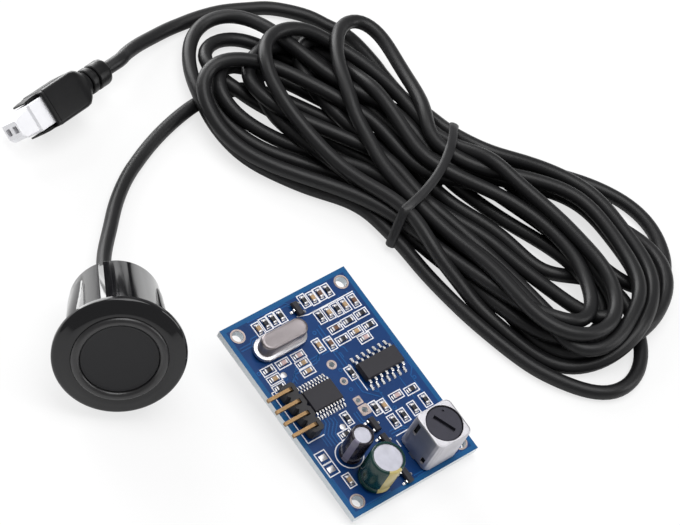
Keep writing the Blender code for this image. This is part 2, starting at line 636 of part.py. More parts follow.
def transformer():
    """A shielded step-up transformer: former, pins, drum core, winding, threaded cup core and drawn shield."""
    centre = (*TRANSFORMER_CENTRE, BOARD_THICKNESS)
    plate_top = SEAT_GAP + FORMER_PLATE

    def shield(shape):
        add_loft(shape, [upright(rounded_rectangle(SHIELD_SIDE - 2 * inset, SHIELD_SIDE - 2 * inset,
                                                   SHIELD_CORNER - inset, 3), z)
                         for inset, z in ((0.0, SEAT_GAP), (0.0, SHIELD_TOP - 0.4 * MM),
                                          (0.12 * MM, SHIELD_TOP - 0.12 * MM), (0.4 * MM, SHIELD_TOP))])

    def hollow(shape):
        side = SHIELD_SIDE - 2 * SHIELD_WALL
        add_prism(shape, rounded_rectangle(side, side, SHIELD_CORNER - SHIELD_WALL, 3), -SEAT_GAP,
                  SHIELD_TOP - SHIELD_WALL)

    def mouth_and_windows(shape):
        add_cylinder(shape, (0.0, 0.0), CORE_RADIUS + PIN_GAP, SHIELD_TOP / 2, 2 * SHIELD_TOP, 36)
        width, tall = SHIELD_WINDOW
        outside = -SHIELD_SIDE / 2
        window_top = SHIELD_TOP - 0.9 * MM
        for left, low, high in ((-2.5 * MM, window_top - tall, window_top), (1.7 * MM, 1.2 * MM, 2.9 * MM)):
            add_box(shape, (left, outside - width, low), (left + width, outside + 2 * SHIELD_WALL, high))

    can = add("transformer_shield", mesh_of("transformer_shield", shield), STEEL, board_frame, centre)
    boolean(can, helper("shield_hollow", mesh_of("shield_hollow", hollow), board_frame, centre), "DIFFERENCE")
    openings = mesh_of("shield_openings", mouth_and_windows)
    boolean(can, helper("shield_openings", openings, board_frame, centre), "DIFFERENCE")
    lugs = mesh_of("shield_lugs", add_boxes, lug_boxes(0.0, 1.0 * MM))
    boolean(can, helper("shield_lugs", lugs, board_frame, (*TRANSFORMER_CENTRE, 0.0)), "UNION")

    side = 2 * FORMER_HALF
    former = add("transformer_former", mesh_of("transformer_former", add_prism,
                                               rounded_rectangle(side, side, 0.5 * MM, 2), SEAT_GAP, FORMER_TOP),
                 CHIP_PLASTIC, board_frame, centre)

    def pin_bores(shape):
        for x, y in transformer_pins():
            add_cylinder(shape, (x, y), HOLE_RADIUS, -SEAT_GAP, plate_top + SEAT_GAP, 10)

    core_bore = mesh_of("former_core_bore", add_cylinder, (0.0, 0.0), CORE_RADIUS + PIN_GAP, plate_top,
                        2 * FORMER_TOP, 36)
    boolean(former, helper("former_core_bore", core_bore, board_frame, centre), "DIFFERENCE")
    boolean(former, helper("former_pin_bores", mesh_of("former_pin_bores", pin_bores), board_frame, centre),
            "DIFFERENCE")
    for number, (x, y) in enumerate(transformer_pins(), 1):
        name = f"transformer_pin_{number}"
        pin = mesh_of(name, add_cylinder, (x, y), LEAD_RADIUS, -BOARD_THICKNESS - STUB_LENGTH, plate_top, 10)
        add(name, pin, TIN, board_frame, centre)

    low = plate_top + SEAT_GAP
    window = low + DRUM_PLATE
    turned("drum_core",
           [(0.0, window + DRUM_WINDOW + DRUM_PLATE), (DRUM_FLANGE, window + DRUM_WINDOW + DRUM_PLATE),
            (DRUM_FLANGE, window + DRUM_WINDOW), (DRUM_POST, window + DRUM_WINDOW), (DRUM_POST, window),
            (DRUM_FLANGE, window), (DRUM_FLANGE, low), (0.0, low)], 24, FERRITE, board_frame, centre)
    coil_low, coil_high = window + PIN_GAP, window + DRUM_WINDOW - PIN_GAP
    turn_height = (coil_high - coil_low) / WINDING_TURNS
    ridges = []
    for turn in range(WINDING_TURNS):
        top = coil_high - turn * turn_height
        ridges += [(WINDING_RADIUS - 0.12 * MM, top), (WINDING_RADIUS, top - turn_height / 2)]
    turned("winding", [(DRUM_POST + PIN_GAP, coil_high), *ridges, (WINDING_RADIUS - 0.12 * MM, coil_low),
                       (DRUM_POST + PIN_GAP, coil_low)], 24, COPPER, board_frame, centre)

    core = turned("tuning_core",
                  [(0.0, CORE_TOP), (CORE_RADIUS - 0.15 * MM, CORE_TOP), (CORE_RADIUS, CORE_TOP - 0.15 * MM),
                   (CORE_RADIUS, CORE_TOP - CORE_SKIRT), (CORE_RADIUS - CORE_WALL, CORE_TOP - CORE_SKIRT),
                   (CORE_RADIUS - CORE_WALL, CORE_TOP - CORE_ROOF), (0.0, CORE_TOP - CORE_ROOF)],
                  36, FERRITE, board_frame, centre)
    length, width, depth = CORE_SLOT

    def slot_and_dimple(shape):
        add_box(shape, (-length / 2, -width / 2, CORE_TOP - depth), (length / 2, width / 2, CORE_TOP + depth))
        add_cylinder(shape, (-0.4 * CORE_RADIUS, 0.62 * CORE_RADIUS), CORE_DIMPLE, CORE_TOP - CORE_DIMPLE,
                     CORE_TOP + depth, 10)

    boolean(core, helper("core_slot", mesh_of("core_slot", slot_and_dimple), board_frame, centre, 25.0),
            "DIFFERENCE")


def probe_socket():
    """The white side-entry socket under the board, open at the board's short edge, and its two contacts."""
    middle = BOARD_WIDTH / 2
    outer = ((SOCKET_SETBACK, middle - SOCKET_WIDTH / 2, -SEAT_GAP - SOCKET_HEIGHT),
             (SOCKET_SETBACK + SOCKET_LENGTH, middle + SOCKET_WIDTH / 2, -SEAT_GAP))
    socket = add("probe_socket", mesh_of("probe_socket", add_box, *outer), WHITE_NYLON, board_frame)
    mouth_half = NOSE_HALF_HEIGHT + PIN_GAP
    _, nose_low, nose_high = NOSE_SECTIONS[-1]
    deep_half = (nose_high - nose_low) * MM / 2 + PIN_GAP
    axis = -SEAT_GAP - SOCKET_HEIGHT / 2
    half = PIN_WIDTH / 2 + PIN_GAP
    hollow = [((SOCKET_SETBACK - 1.0 * MM, middle - mouth_half, axis - deep_half),
               (SOCKET_SETBACK + SOCKET_DEPTH, middle + mouth_half, axis + deep_half))]
    rows = [middle + side * CONTACT_PITCH / 2 for side in (-1, 1)]
    bores = [((SOCKET_SETBACK + SOCKET_DEPTH / 2, y - half, axis - half),
              (SOCKET_SETBACK + 2 * SOCKET_LENGTH, y + half, axis + half)) for y in rows]
    boolean(socket, helper("socket_hollow", mesh_of("socket_hollow", add_boxes, hollow), board_frame),
            "DIFFERENCE")
    boolean(socket, helper("socket_bores", mesh_of("socket_bores", add_boxes, bores), board_frame),
            "DIFFERENCE")
    back = SOCKET_SETBACK + SOCKET_LENGTH + 0.8 * MM
    foot = -SEAT_GAP - PIN_WIDTH / 2
    path = [(SOCKET_SETBACK + 1.6 * MM, axis), (back, axis), (back, foot), (back + 1.6 * MM, foot)]
    for number, y in enumerate(rows, 1):
        name = f"socket_contact_{number}"
        contact = mesh_of(name, add_prism, strip_outline(path, PIN_WIDTH), -PIN_WIDTH / 2, PIN_WIDTH / 2,
                          STANDING)
        add(name, contact, TIN, board_frame, (0.0, y, 0.0))


def probe_housing():
    """The moulded housing: flange, barrel, front seat, two springy wings in their windows, and a rear notch."""
    seat_bore = RING_RADIUS + SEAT_GAP
    edge = FLANGE_RADIUS
    housing = turned("probe_housing",
                     [(seat_bore, 0.0), (seat_bore + 0.6 * MM, 0.0), (edge - 0.7 * MM, -FACE_CONE * 0.7),
                      (edge - 0.25 * MM, -FACE_CONE), (edge, -FACE_CONE - 0.35 * MM),
                      (edge - 0.05 * MM, -FLANGE_THICKNESS + 0.35 * MM), (edge - 0.4 * MM, -FLANGE_THICKNESS),
                      (BARREL_RADIUS + 0.4 * MM, -FLANGE_THICKNESS),
                      (BARREL_RADIUS, -FLANGE_THICKNESS - 0.4 * MM),
                      (REAR_RADIUS, -PROBE_LENGTH), (REAR_BORE + 0.15 * MM, -PROBE_LENGTH),
                      (REAR_BORE, -PROBE_LENGTH + 0.3 * MM), (REAR_BORE, -SHOULDER_DEPTH),
                      (SLEEVE_BORE, -SHOULDER_DEPTH), (SLEEVE_BORE, -RING_SEAT_DEPTH),
                      (seat_bore, -RING_SEAT_DEPTH)], 64, HOUSING_PLASTIC, probe_frame)
    window_low = WING_ROOT - 0.8 * MM
    root_radius = REAR_RADIUS + 0.4 * MM
    outside = 2 * FLANGE_RADIUS
    window = [(REAR_BORE / 2, -WING_FREE_END + 0.45 * MM), (outside, -WING_FREE_END + 0.45 * MM),
              (outside, -window_low), (REAR_BORE / 2, -window_low)]
    wing = [(WING_RISE - 0.25 * MM, -WING_FREE_END), (WING_RISE, -WING_FREE_END - 0.3 * MM),
            (root_radius, -WING_ROOT), (REAR_RADIUS - 0.15 * MM, -WING_ROOT - 1.6 * MM),
            (REAR_BORE + 0.4 * MM, -WING_ROOT - 1.6 * MM), (REAR_BORE + 0.4 * MM, -window_low + 0.1 * MM),
            (WING_RISE - WING_THICKNESS, -WING_FREE_END)]

    def windows(shape):
        reach = WING_ANGLE + 2 * WING_SLOT_ANGLE
        for middle in (0.0, 180.0):
            add_sector(shape, window, middle - reach / 2, reach, 8)

    def wings(shape):
        for middle in (0.0, 180.0):
            add_sector(shape, wing, middle - WING_ANGLE / 2, WING_ANGLE, 12)

    def notch(shape):
        width, depth = NOTCH
        add_box(shape, (REAR_BORE - 1.0 * MM, -width / 2, -PROBE_LENGTH - depth),
                (REAR_RADIUS + 1.0 * MM, width / 2, -PROBE_LENGTH + depth))

    boolean(housing, helper("wing_windows", mesh_of("wing_windows", windows), probe_frame), "DIFFERENCE")
    boolean(housing, helper("wings", mesh_of("wings", wings), probe_frame), "UNION")
    boolean(housing, helper("rear_notch", mesh_of("rear_notch", notch), probe_frame, turn=NOTCH_ANGLE),
            "DIFFERENCE")


def transducer():
    """What the housing holds: rubber ring, aluminium cup, piezo disc, damping pad, wires and potting."""
    inner = CUP_RADIUS + PIN_GAP
    outer = inner + SLEEVE_THICKNESS
    lip_back = -RING_SEAT_DEPTH + SEAT_GAP
    turned("decoupling_ring",
           [(inner, RING_PROUD - 0.25 * MM), (inner + 0.25 * MM, RING_PROUD),
            (RING_RADIUS - 0.3 * MM, RING_PROUD), (RING_RADIUS, RING_PROUD - 0.3 * MM),
            (RING_RADIUS, lip_back), (outer, lip_back),
            (outer, -SHOULDER_DEPTH + SEAT_GAP), (inner, -SHOULDER_DEPTH + SEAT_GAP)], 48, RUBBER, probe_frame)
    cup_rear = CUP_FRONT - CUP_LENGTH
    membrane = CUP_FRONT - CUP_MEMBRANE
    turned("transducer_cup",
           [(0.0, CUP_FRONT), (CUP_RADIUS - 0.3 * MM, CUP_FRONT), (CUP_RADIUS, CUP_FRONT - 0.3 * MM),
            (CUP_RADIUS, cup_rear), (CUP_RADIUS - CUP_WALL, cup_rear),
            (CUP_RADIUS - CUP_WALL, membrane - 0.4 * MM), (CUP_RADIUS - CUP_WALL - 0.4 * MM, membrane),
            (0.0, membrane)], 40, RUBBER, probe_frame)
    radius, thickness = PIEZO
    piezo_front = membrane - SOLDER_GAP
    piezo_back = piezo_front - thickness
    turned("piezo_disc", [(0.0, piezo_front), (radius, piezo_front), (radius, piezo_back), (0.0, piezo_back)],
           28, CERAMIC, probe_frame)
    depth, distance = DAMPING_PAD
    pad_front = piezo_back - distance
    pad_radius = CUP_RADIUS - CUP_WALL - SEAT_GAP
    pad = turned("damping_pad", [(0.0, pad_front), (pad_radius, pad_front), (pad_radius, pad_front - depth),
                                 (0.0, pad_front - depth)], 32, RUBBER, probe_frame)
    channel = pad_radius - 0.6 * MM

    def wire_channels(shape):
        for side in (-1, 1):
            add_cylinder(shape, (0.0, side * channel), WIRE_RADIUS + 2 * PIN_GAP, pad_front - 2 * depth,
                         pad_front + depth, 12)

    boolean(pad, helper("wire_channels", mesh_of("wire_channels", wire_channels), probe_frame), "DIFFERENCE")
    potting_front = -SHOULDER_DEPTH - SEAT_GAP
    turned("potting", [(0.0, potting_front), (REAR_BORE - SEAT_GAP, potting_front),
                       (REAR_BORE - SEAT_GAP, potting_front - POTTING_LENGTH),
                       (0.0, potting_front - POTTING_LENGTH)], 32, RUBBER, probe_frame)
    start = piezo_back - PIN_GAP - WIRE_RADIUS
    for name, side, finish in (("wire_red", -1, RED_WIRE), ("wire_black", 1, CABLE_JACKET)):
        route = [(0.0, side * radius * 0.7, start), (0.0, side * (channel - 0.6 * MM), start - 0.1 * MM),
                 (0.0, side * channel, pad_front - 0.4 * MM), (0.0, side * channel, pad_front - depth),
                 (0.0, side * channel * 0.8, pad_front - depth - 1.5 * MM),
                 (0.0, side * WIRE_RADIUS * 3, potting_front + 1.5 * MM),
                 (0.0, side * WIRE_RADIUS * 2, potting_front + SEAT_GAP)]
        tube(name, route, WIRE_RADIUS, 2, finish, probe_frame)


def probe_exit():
    """Where the cable leaves the potting, and its direction, on the floor's axes."""
    angle = math.radians(CABLE_OFFSET_ANGLE)
    depth = -SHOULDER_DEPTH - 2 * SEAT_GAP - POTTING_LENGTH
    point = Vector((CABLE_OFFSET * math.cos(angle), CABLE_OFFSET * math.sin(angle), depth))
    return probe_frame.matrix_world @ point, probe_frame.matrix_world.to_3x3() @ Vector((0.0, 0.0, -1.0))


def plug_exit():
    """Where the cable leaves the plug's strain relief, and its direction, on the floor's axes."""
    point = Vector((RELIEF_END + SEAT_GAP, 0.0, 0.0))
    return plug_frame.matrix_world @ point, plug_frame.matrix_world.to_3x3() @ Vector((1.0, 0.0, 0.0))


def cable():
    """The cable: its two leads as they lie, and the outer shape of the hank between them, in its tie."""
    straight = 3 * CABLE_RADIUS
    for name, (start, direction), route in (("cable_lead_probe", probe_exit(), PROBE_LEAD),
                                            ("cable_lead_plug", plug_exit(), PLUG_LEAD)):
        points = [start, start + direction * straight, *[from_mm(point) for point in route]]
        tube(name, points, CABLE_RADIUS, 3, CABLE_JACKET)
    corners = [Vector(from_mm(point)) for point in HANK_OUTLINE]
    looped = [corners[-1], *corners, corners[0], corners[1]]
    outline = [curve_through(looped, 1 + step / 2) for step in range(2 * len(corners))]
    hank = add("cable_hank", mesh_of("cable_hank", add_prism, outline, 0.0, HANK_HEIGHT), CABLE_JACKET, None)
    turn = math.radians(TIE_HEADING)
    across = Vector((-math.sin(turn), math.cos(turn)))
    along = Vector((math.cos(turn), math.sin(turn)))
    near, far = waist(outline, Vector(TIE_CENTRE), across, along)
    groove_half = TIE_WIDTH / 2 + SEAT_GAP
    groove = mesh_of("tie_groove", add_box, (-groove_half, 2 * near, -1.0 * MM),
                     (groove_half, 2 * far, TIE_THICKNESS + SEAT_GAP))
    boolean(hank, helper("tie_groove", groove, None, (*TIE_CENTRE, 0.0), TIE_HEADING), "DIFFERENCE")
    tie(near - SEAT_GAP, far + SEAT_GAP)


def waist(outline, centre, across, along):
    """How far the hank's outline reaches to both sides of the tie's centre, over the tie's own width."""
    near, far = 0.0, 0.0
    for first, second in zip(outline, outline[1:] + outline[:1]):
        for step in range(9):
            point = first.lerp(second, step / 8) - centre
            if abs(point.dot(along)) < TIE_WIDTH:
                near = min(near, point.dot(across))
                far = max(far, point.dot(across))
    return near, far


def tie(near, far):
    """The flat tie: a closed band round the hank, lying in its groove underneath."""
    inner_low, inner_high = TIE_THICKNESS, HANK_HEIGHT + SEAT_GAP
    data = bpy.data.curves.new("cable_tie", "CURVE")
    data.dimensions = "2D"
    data.fill_mode = "BOTH"
    data.extrude = TIE_WIDTH / 2
    middle = ((near + far) / 2, (inner_low + inner_high) / 2)
    for grow, radius in ((0.0, 0.4 * MM), (TIE_THICKNESS, 0.4 * MM + TIE_THICKNESS)):
        outline = rounded_rectangle(far - near + 2 * grow, inner_high - inner_low + 2 * grow, radius, 3)
        spline = data.splines.new("POLY")
        spline.points.add(len(outline) - 1)
        for point, (x, y) in zip(spline.points, outline):
            point.co = (x + middle[0], y + middle[1], 0.0, 1.0)
        spline.use_cyclic_u = True
    band = add("cable_tie", data, CABLE_JACKET, None, (*TIE_CENTRE, 0.0))
    band.rotation_euler = (math.pi / 2, 0.0, math.radians(TIE_HEADING + 90.0))


def plug():
    """The plug: a white two-way housing in a moulded boot with two guard arms and a ringed strain relief."""
    half_width, half_height = HOUSING_HALF
    rear = BOOT_LIP + BOOT_POCKET - SEAT_GAP

    def section(x, low, high, half, radius):
        middle = (low + high) / 2
        outline = rounded_rectangle(high - low, 2 * half, radius, 2)
        return [Vector((x, y + middle, z)) for y, z in outline]

    def housing(shape):
        nose = [section(x * MM, low * MM, high * MM, NOSE_HALF_HEIGHT, 0.25 * MM)
                for x, low, high in NOSE_SECTIONS]
        body = [section(x, -half_width, half_width, half_height, 0.25 * MM)
                for x in (NOSE_LENGTH + 0.3 * MM, rear)]
        add_loft(shape, nose + body)

    def boot(shape):
        wide, tall = BOOT_HALF
        step = 0.15 * MM
        sections = [section(x, -wide + step, wide - step, tall - step, BOOT_ROUND)
                    for x in (BOOT_LIP, BOOT_LIP + 0.6 * MM)]
        sections += [section(BOOT_LIP + 0.7 * MM, -wide, wide, tall, BOOT_ROUND),
                     section(BOOT_SHOULDER, -wide, wide, tall - step, BOOT_ROUND)]
        neck = RELIEF_RADIUS - RELIEF_GROOVE
        reach = RELIEF_END - RELIEF_START
        rings = [(RELIEF_START, RELIEF_RADIUS), (RELIEF_START + 0.08 * reach, neck),
                 (RELIEF_START + 0.2 * reach, neck), (RELIEF_START + 0.26 * reach, RELIEF_RADIUS),
                 (RELIEF_START + 0.46 * reach, RELIEF_RADIUS), (RELIEF_START + 0.52 * reach, neck),
                 (RELIEF_START + 0.64 * reach, neck), (RELIEF_START + 0.7 * reach, RELIEF_RADIUS),
                 (RELIEF_END - 0.4 * MM, RELIEF_RADIUS), (RELIEF_END, RELIEF_RADIUS - 0.5 * MM)]
        for x, radius in rings:
            sections.append(section(x, -radius, radius, radius, radius * 0.98))
        add_loft(shape, sections)

    def pocket(shape):
        add_prism(shape, rounded_rectangle(2 * BOOT_POCKET, 2 * (half_width + SEAT_GAP), 0.05 * MM, 1),
                  -half_height - SEAT_GAP, half_height + SEAT_GAP, Matrix.Translation((BOOT_LIP, 0.0, 0.0)))

    def arms(shape):
        inside = half_width + SEAT_GAP
        outside = inside + BOOT_WALL
        for side in (-1, 1):
            outline = [(ARM_TIP, side * inside), (BOOT_LIP + 1.5 * MM, side * inside),
                       (BOOT_LIP + 1.5 * MM, side * (outside - 0.05 * MM)),
                       (ARM_TIP + 2.0 * MM, side * (outside - 0.1 * MM)),
                       (ARM_TIP, side * (inside + 0.25 * MM))]
            add_prism(shape, outline, -ARM_HALF_HEIGHT, ARM_HALF_HEIGHT)

    def grips(shape):
        edge = BOOT_HALF[0]
        for side in (-1, 1):
            low, high = sorted((side * (edge - 0.3 * MM), side * (edge + 1.0 * MM)))
            add_box(shape, (BOOT_LIP + 1.8 * MM, low, 0.4 * MM), (BOOT_SHOULDER - 1.6 * MM, high, 1.7 * MM))

    nylon = add("plug_housing", mesh_of("plug_housing", housing), WHITE_NYLON, plug_frame)
    bores = []
    for side in (-1, 1):
        half = CONTACT_BOX / 2 + PIN_GAP
        middle = side * CONTACT_PITCH / 2
        bores.append(((-1.0 * MM, -half, middle - half), (rear + 1.0 * MM, half, middle + half)))
    boolean(nylon, helper("contact_bores", mesh_of("contact_bores", add_boxes, bores), plug_frame),
            "DIFFERENCE")
    rubber_boot = add("plug_boot", mesh_of("plug_boot", boot), CABLE_JACKET, plug_frame)
    boolean(rubber_boot, helper("boot_pocket", mesh_of("boot_pocket", pocket), plug_frame), "DIFFERENCE")
    boolean(rubber_boot, helper("boot_arms", mesh_of("boot_arms", arms), plug_frame), "UNION")
    boolean(rubber_boot, helper("boot_grips", mesh_of("boot_grips", grips), plug_frame), "DIFFERENCE")
    for number, side in ((1, -1), (2, 1)):
        middle = side * CONTACT_PITCH / 2
        name = f"plug_contact_{number}"
        box, bore = CONTACT_BOX / 2, CONTACT_BORE / 2
        tin = mesh_of(name, add_box, (0.6 * MM, -box, middle - box),
                      (0.6 * MM + CONTACT_LENGTH, box, middle + box))
        contact = add(name, tin, TIN, plug_frame)
        hole = mesh_of(name + "_bore", add_box, (-1.0 * MM, -bore, middle - bore),
                       (CONTACT_LENGTH - 1.0 * MM, bore, middle + bore))
        boolean(contact, helper(name + "_bore", hole, plug_frame), "DIFFERENCE")


bpy.context.view_layer.update()
circuit_board()
crystal()
legged_chip("microcontroller", MICROCONTROLLER)
legged_chip("amplifier", AMPLIFIER)
transistors()
pin_header()
capacitor("small_capacitor", SMALL_CAPACITOR, BLACK_SLEEVE)
capacitor("large_capacitor", LARGE_CAPACITOR, GREEN_SLEEVE)
transformer()
probe_socket()
probe_housing()
transducer()
plug()
cable()
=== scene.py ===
"""Looks of the ultrasonic distance sensor: its probe on a hank of cable, and its control board."""

import json
import math

import bmesh
import bpy
import numpy as np
from mathutils import Matrix, Vector


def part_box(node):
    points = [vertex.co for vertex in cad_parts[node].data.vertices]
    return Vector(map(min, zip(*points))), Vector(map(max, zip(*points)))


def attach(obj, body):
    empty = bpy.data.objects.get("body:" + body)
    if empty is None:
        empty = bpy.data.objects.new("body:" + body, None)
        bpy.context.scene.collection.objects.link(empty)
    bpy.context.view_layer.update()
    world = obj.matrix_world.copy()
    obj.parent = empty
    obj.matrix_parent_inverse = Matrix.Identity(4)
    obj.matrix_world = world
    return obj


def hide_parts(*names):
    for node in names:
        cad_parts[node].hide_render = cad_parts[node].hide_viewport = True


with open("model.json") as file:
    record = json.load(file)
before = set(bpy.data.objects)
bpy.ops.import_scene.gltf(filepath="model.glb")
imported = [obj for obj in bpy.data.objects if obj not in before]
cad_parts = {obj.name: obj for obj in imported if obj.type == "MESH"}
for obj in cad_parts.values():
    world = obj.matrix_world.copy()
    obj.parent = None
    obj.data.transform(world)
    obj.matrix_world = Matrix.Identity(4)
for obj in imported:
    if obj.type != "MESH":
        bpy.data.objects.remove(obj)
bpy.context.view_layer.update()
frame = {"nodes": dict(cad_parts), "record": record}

# Camera. It looks down on the set from the front right, rolled to the left, through a long lens.
# Places are in metres, and the lens is for an image 680 pixels wide.
CAMERA_PLACE = Vector((0.23372, -0.29326, 0.49578))
CAMERA_RIGHT = Vector((0.6178, 0.7618, 0.1949))
CAMERA_UP = Vector((-0.6849, 0.3996, 0.6094))
CAMERA_FOCAL_PIXELS = 3540.5
IMAGE_WIDTH = 680

camera_data = bpy.data.cameras.new("camera")
camera_data.sensor_width = 36.0
camera_data.lens = CAMERA_FOCAL_PIXELS / IMAGE_WIDTH * camera_data.sensor_width
camera_data.clip_end = 10.0
camera = bpy.data.objects.new("camera", camera_data)
camera_back = CAMERA_RIGHT.cross(CAMERA_UP)
camera.matrix_world = Matrix((CAMERA_RIGHT, CAMERA_UP, camera_back)).transposed().to_4x4()
camera.location = CAMERA_PLACE
bpy.context.scene.collection.objects.link(camera)
bpy.context.scene.camera = camera

# Cable. One length of two-core cable with a black PVC jacket, 2.7 mm thick, moulded into the probe and the
# plug at its ends. It leaves the probe, winds ten and a half times into a flat hank and runs to the plug.
# The turns are laid by a loop from the shapes of each half turn, and then settle on each other.
MM = 0.001
CABLE_DIAMETER = 2.7
CABLE_STEP = 1.2
LAYER_HEIGHT = 2.38
TIE_FAR = np.array([-26.2, 70.4])
TIE_NEAR = np.array([-14.6, 48.2])
TIE_PLACES = 18
TIE_THICKNESS = 0.6

PROBE_EXIT = (-26.455, -11.503, 8.575)
PLUG_EXIT = (-70.925, 22.286, 5.1215)
PROBE_LEAD = (
    PROBE_EXIT, (-29.50, -9.20, 7.22), (-36.1, -3.8, 4.6), (-41.5, 1.8, 3.3), (-46.1, 6.8, 2.4),
    (-49.9, 12.0, 1.8), (-53.2, 18.2, 1.5), (-55.7, 24.6, 1.4), (-57.0, 29.4, 1.4), (-57.9, 34.0, 1.4),
    (-58.2, 39.0, 1.4), (-56.5, 45.0, 1.4), (-50.0, 50.0, 1.4), (-44.0, 53.0, 1.4), (-37.0, 56.5, 1.4),
    (-30.0, 59.0, 1.4),
)
PLUG_LEAD = (
    (-33.0, 70.0, 1.4), (-42.0, 70.0, 1.4), (-49.0, 71.0, 1.4), (-57.0, 70.8, 1.4), (-61.0, 69.0, 1.4),
    (-65.0, 67.0, 1.4), (-70.0, 62.0, 1.4), (-72.0, 58.0, 1.4), (-74.0, 53.0, 1.4), (-75.0, 48.0, 1.4),
    (-75.3, 44.0, 1.4), (-75.3, 41.0, 1.6), (-74.8, 36.8, 2.2), (-73.9, 32.2, 3.2), (-72.6, 28.4, 4.3),
    (-71.53, 26.30, 5.10), PLUG_EXIT,
)
# Each half turn: how high it lies among the others at its two ends, the height above the floor that its
# points were read for at its two ends, and the points in mm. Right ones run from the far side of the tie
# to the near side, left ones back.
RIGHT_TURNS = {
    "top": ((90, 90), (6, 5), (
        (-15, 75), (-11, 79), (-6, 82), (-1, 84), (4, 84), (10, 83), (16, 82), (20, 80), (23, 77), (25, 73),
        (27, 68), (27.3, 63), (27, 59), (25, 54), (21, 51), (16, 50), (9, 50), (2, 50.5), (-5, 50.6))),
    "inner": ((92, 80), (7, 5), (
        (-17, 71), (-9, 72), (1, 73), (9, 73), (15, 73), (20, 71), (23, 69), (24.8, 65), (24, 61), (21, 58),
        (16, 56.5), (9, 56), (2, 56), (-6, 54.5))),
    "low": ((70, 70), (5, 5), (
        (-18, 65), (-10, 69), (-4, 71), (2, 72), (8, 72), (13, 70), (17, 68), (20.5, 65), (21, 61),
        (17.5, 57.5), (11, 54.5), (3, 52), (-5, 50))),
    "outer": ((25, 15), (3, 2), (
        (-17, 76), (-10, 82), (-6, 86), (-1, 89), (4, 91), (10, 91), (15, 89), (19.5, 85.5), (21, 81.5),
        (18, 78), (11, 76), (2, 75.5), (-7, 75), (-15, 73.5))),
    "second": ((30, 30), (1.5, 1.5), (
        (-16, 74), (-8, 79), (0, 84), (7, 86), (11, 88), (14, 88), (18, 87), (21, 85), (23, 82), (25, 78),
        (26, 74), (27, 67), (27, 61), (24, 57.5), (18, 56), (10, 55.5), (2, 55.3), (-6, 54))),
    "loose": ((5, 5), (1.4, 1.4), (
        (-14, 61), (-5.3, 64.2), (0.5, 64.4), (5.5, 65), (8.3, 67.3), (9.9, 70.8), (13, 73.8), (19, 75.5),
        (25, 73), (28, 71), (32, 68), (34, 64), (34, 59), (31, 56), (26, 53), (20, 51), (10, 48.5),
        (0, 47.5), (-7, 47.5))),
    "hidden_a": ((45, 45), (3, 3), (
        (-16, 72.5), (-11, 77), (-6, 81), (0, 83), (7, 82.5), (14, 81.5), (20, 79), (23.5, 75), (26, 69),
        (26.5, 63), (25, 58), (20, 54.5), (12, 54), (4, 54), (-5, 53))),
    "hidden_b": ((50, 50), (3, 3), (
        (-17, 65), (-9, 66.5), (-4, 68), (1, 70), (6, 71.5), (12, 72), (18, 71.5), (22.5, 68), (23.5, 63),
        (21, 58), (15, 55), (7, 53), (0, 52.3), (-7, 51.5))),
    "hidden_c": ((55, 55), (4, 4), (
        (-17, 67), (-10, 70), (-4, 72), (3, 73.5), (11, 74), (17, 73), (21.5, 71.5), (23.5, 69),
        (22.5, 66.8), (19.5, 65.3), (14, 64), (8, 63), (2, 62.3), (-4, 61.5), (-11, 59))),
    "hidden_d": ((60, 60), (4, 4), (
        (-17, 71.5), (-12, 76), (-7, 80), (-2, 82.5), (5, 82.5), (12, 81.5), (18, 80), (22, 77.5),
        (25.2, 72), (26.7, 66), (26.3, 61), (24, 58), (19, 57.5), (12, 57.6), (5, 57.6), (-2, 57),
        (-9, 55))),
    "hidden_e": ((48, 48), (3, 3), (
        (-17, 68), (-9, 70.5), (-2, 72.5), (6, 73.5), (13, 73.2), (19, 71.5), (23.5, 68), (25.5, 64.5),
        (24, 61.5), (20, 60.3), (14, 60), (7, 59.7), (1, 59.2), (-5, 58), (-12, 56.3))),
}
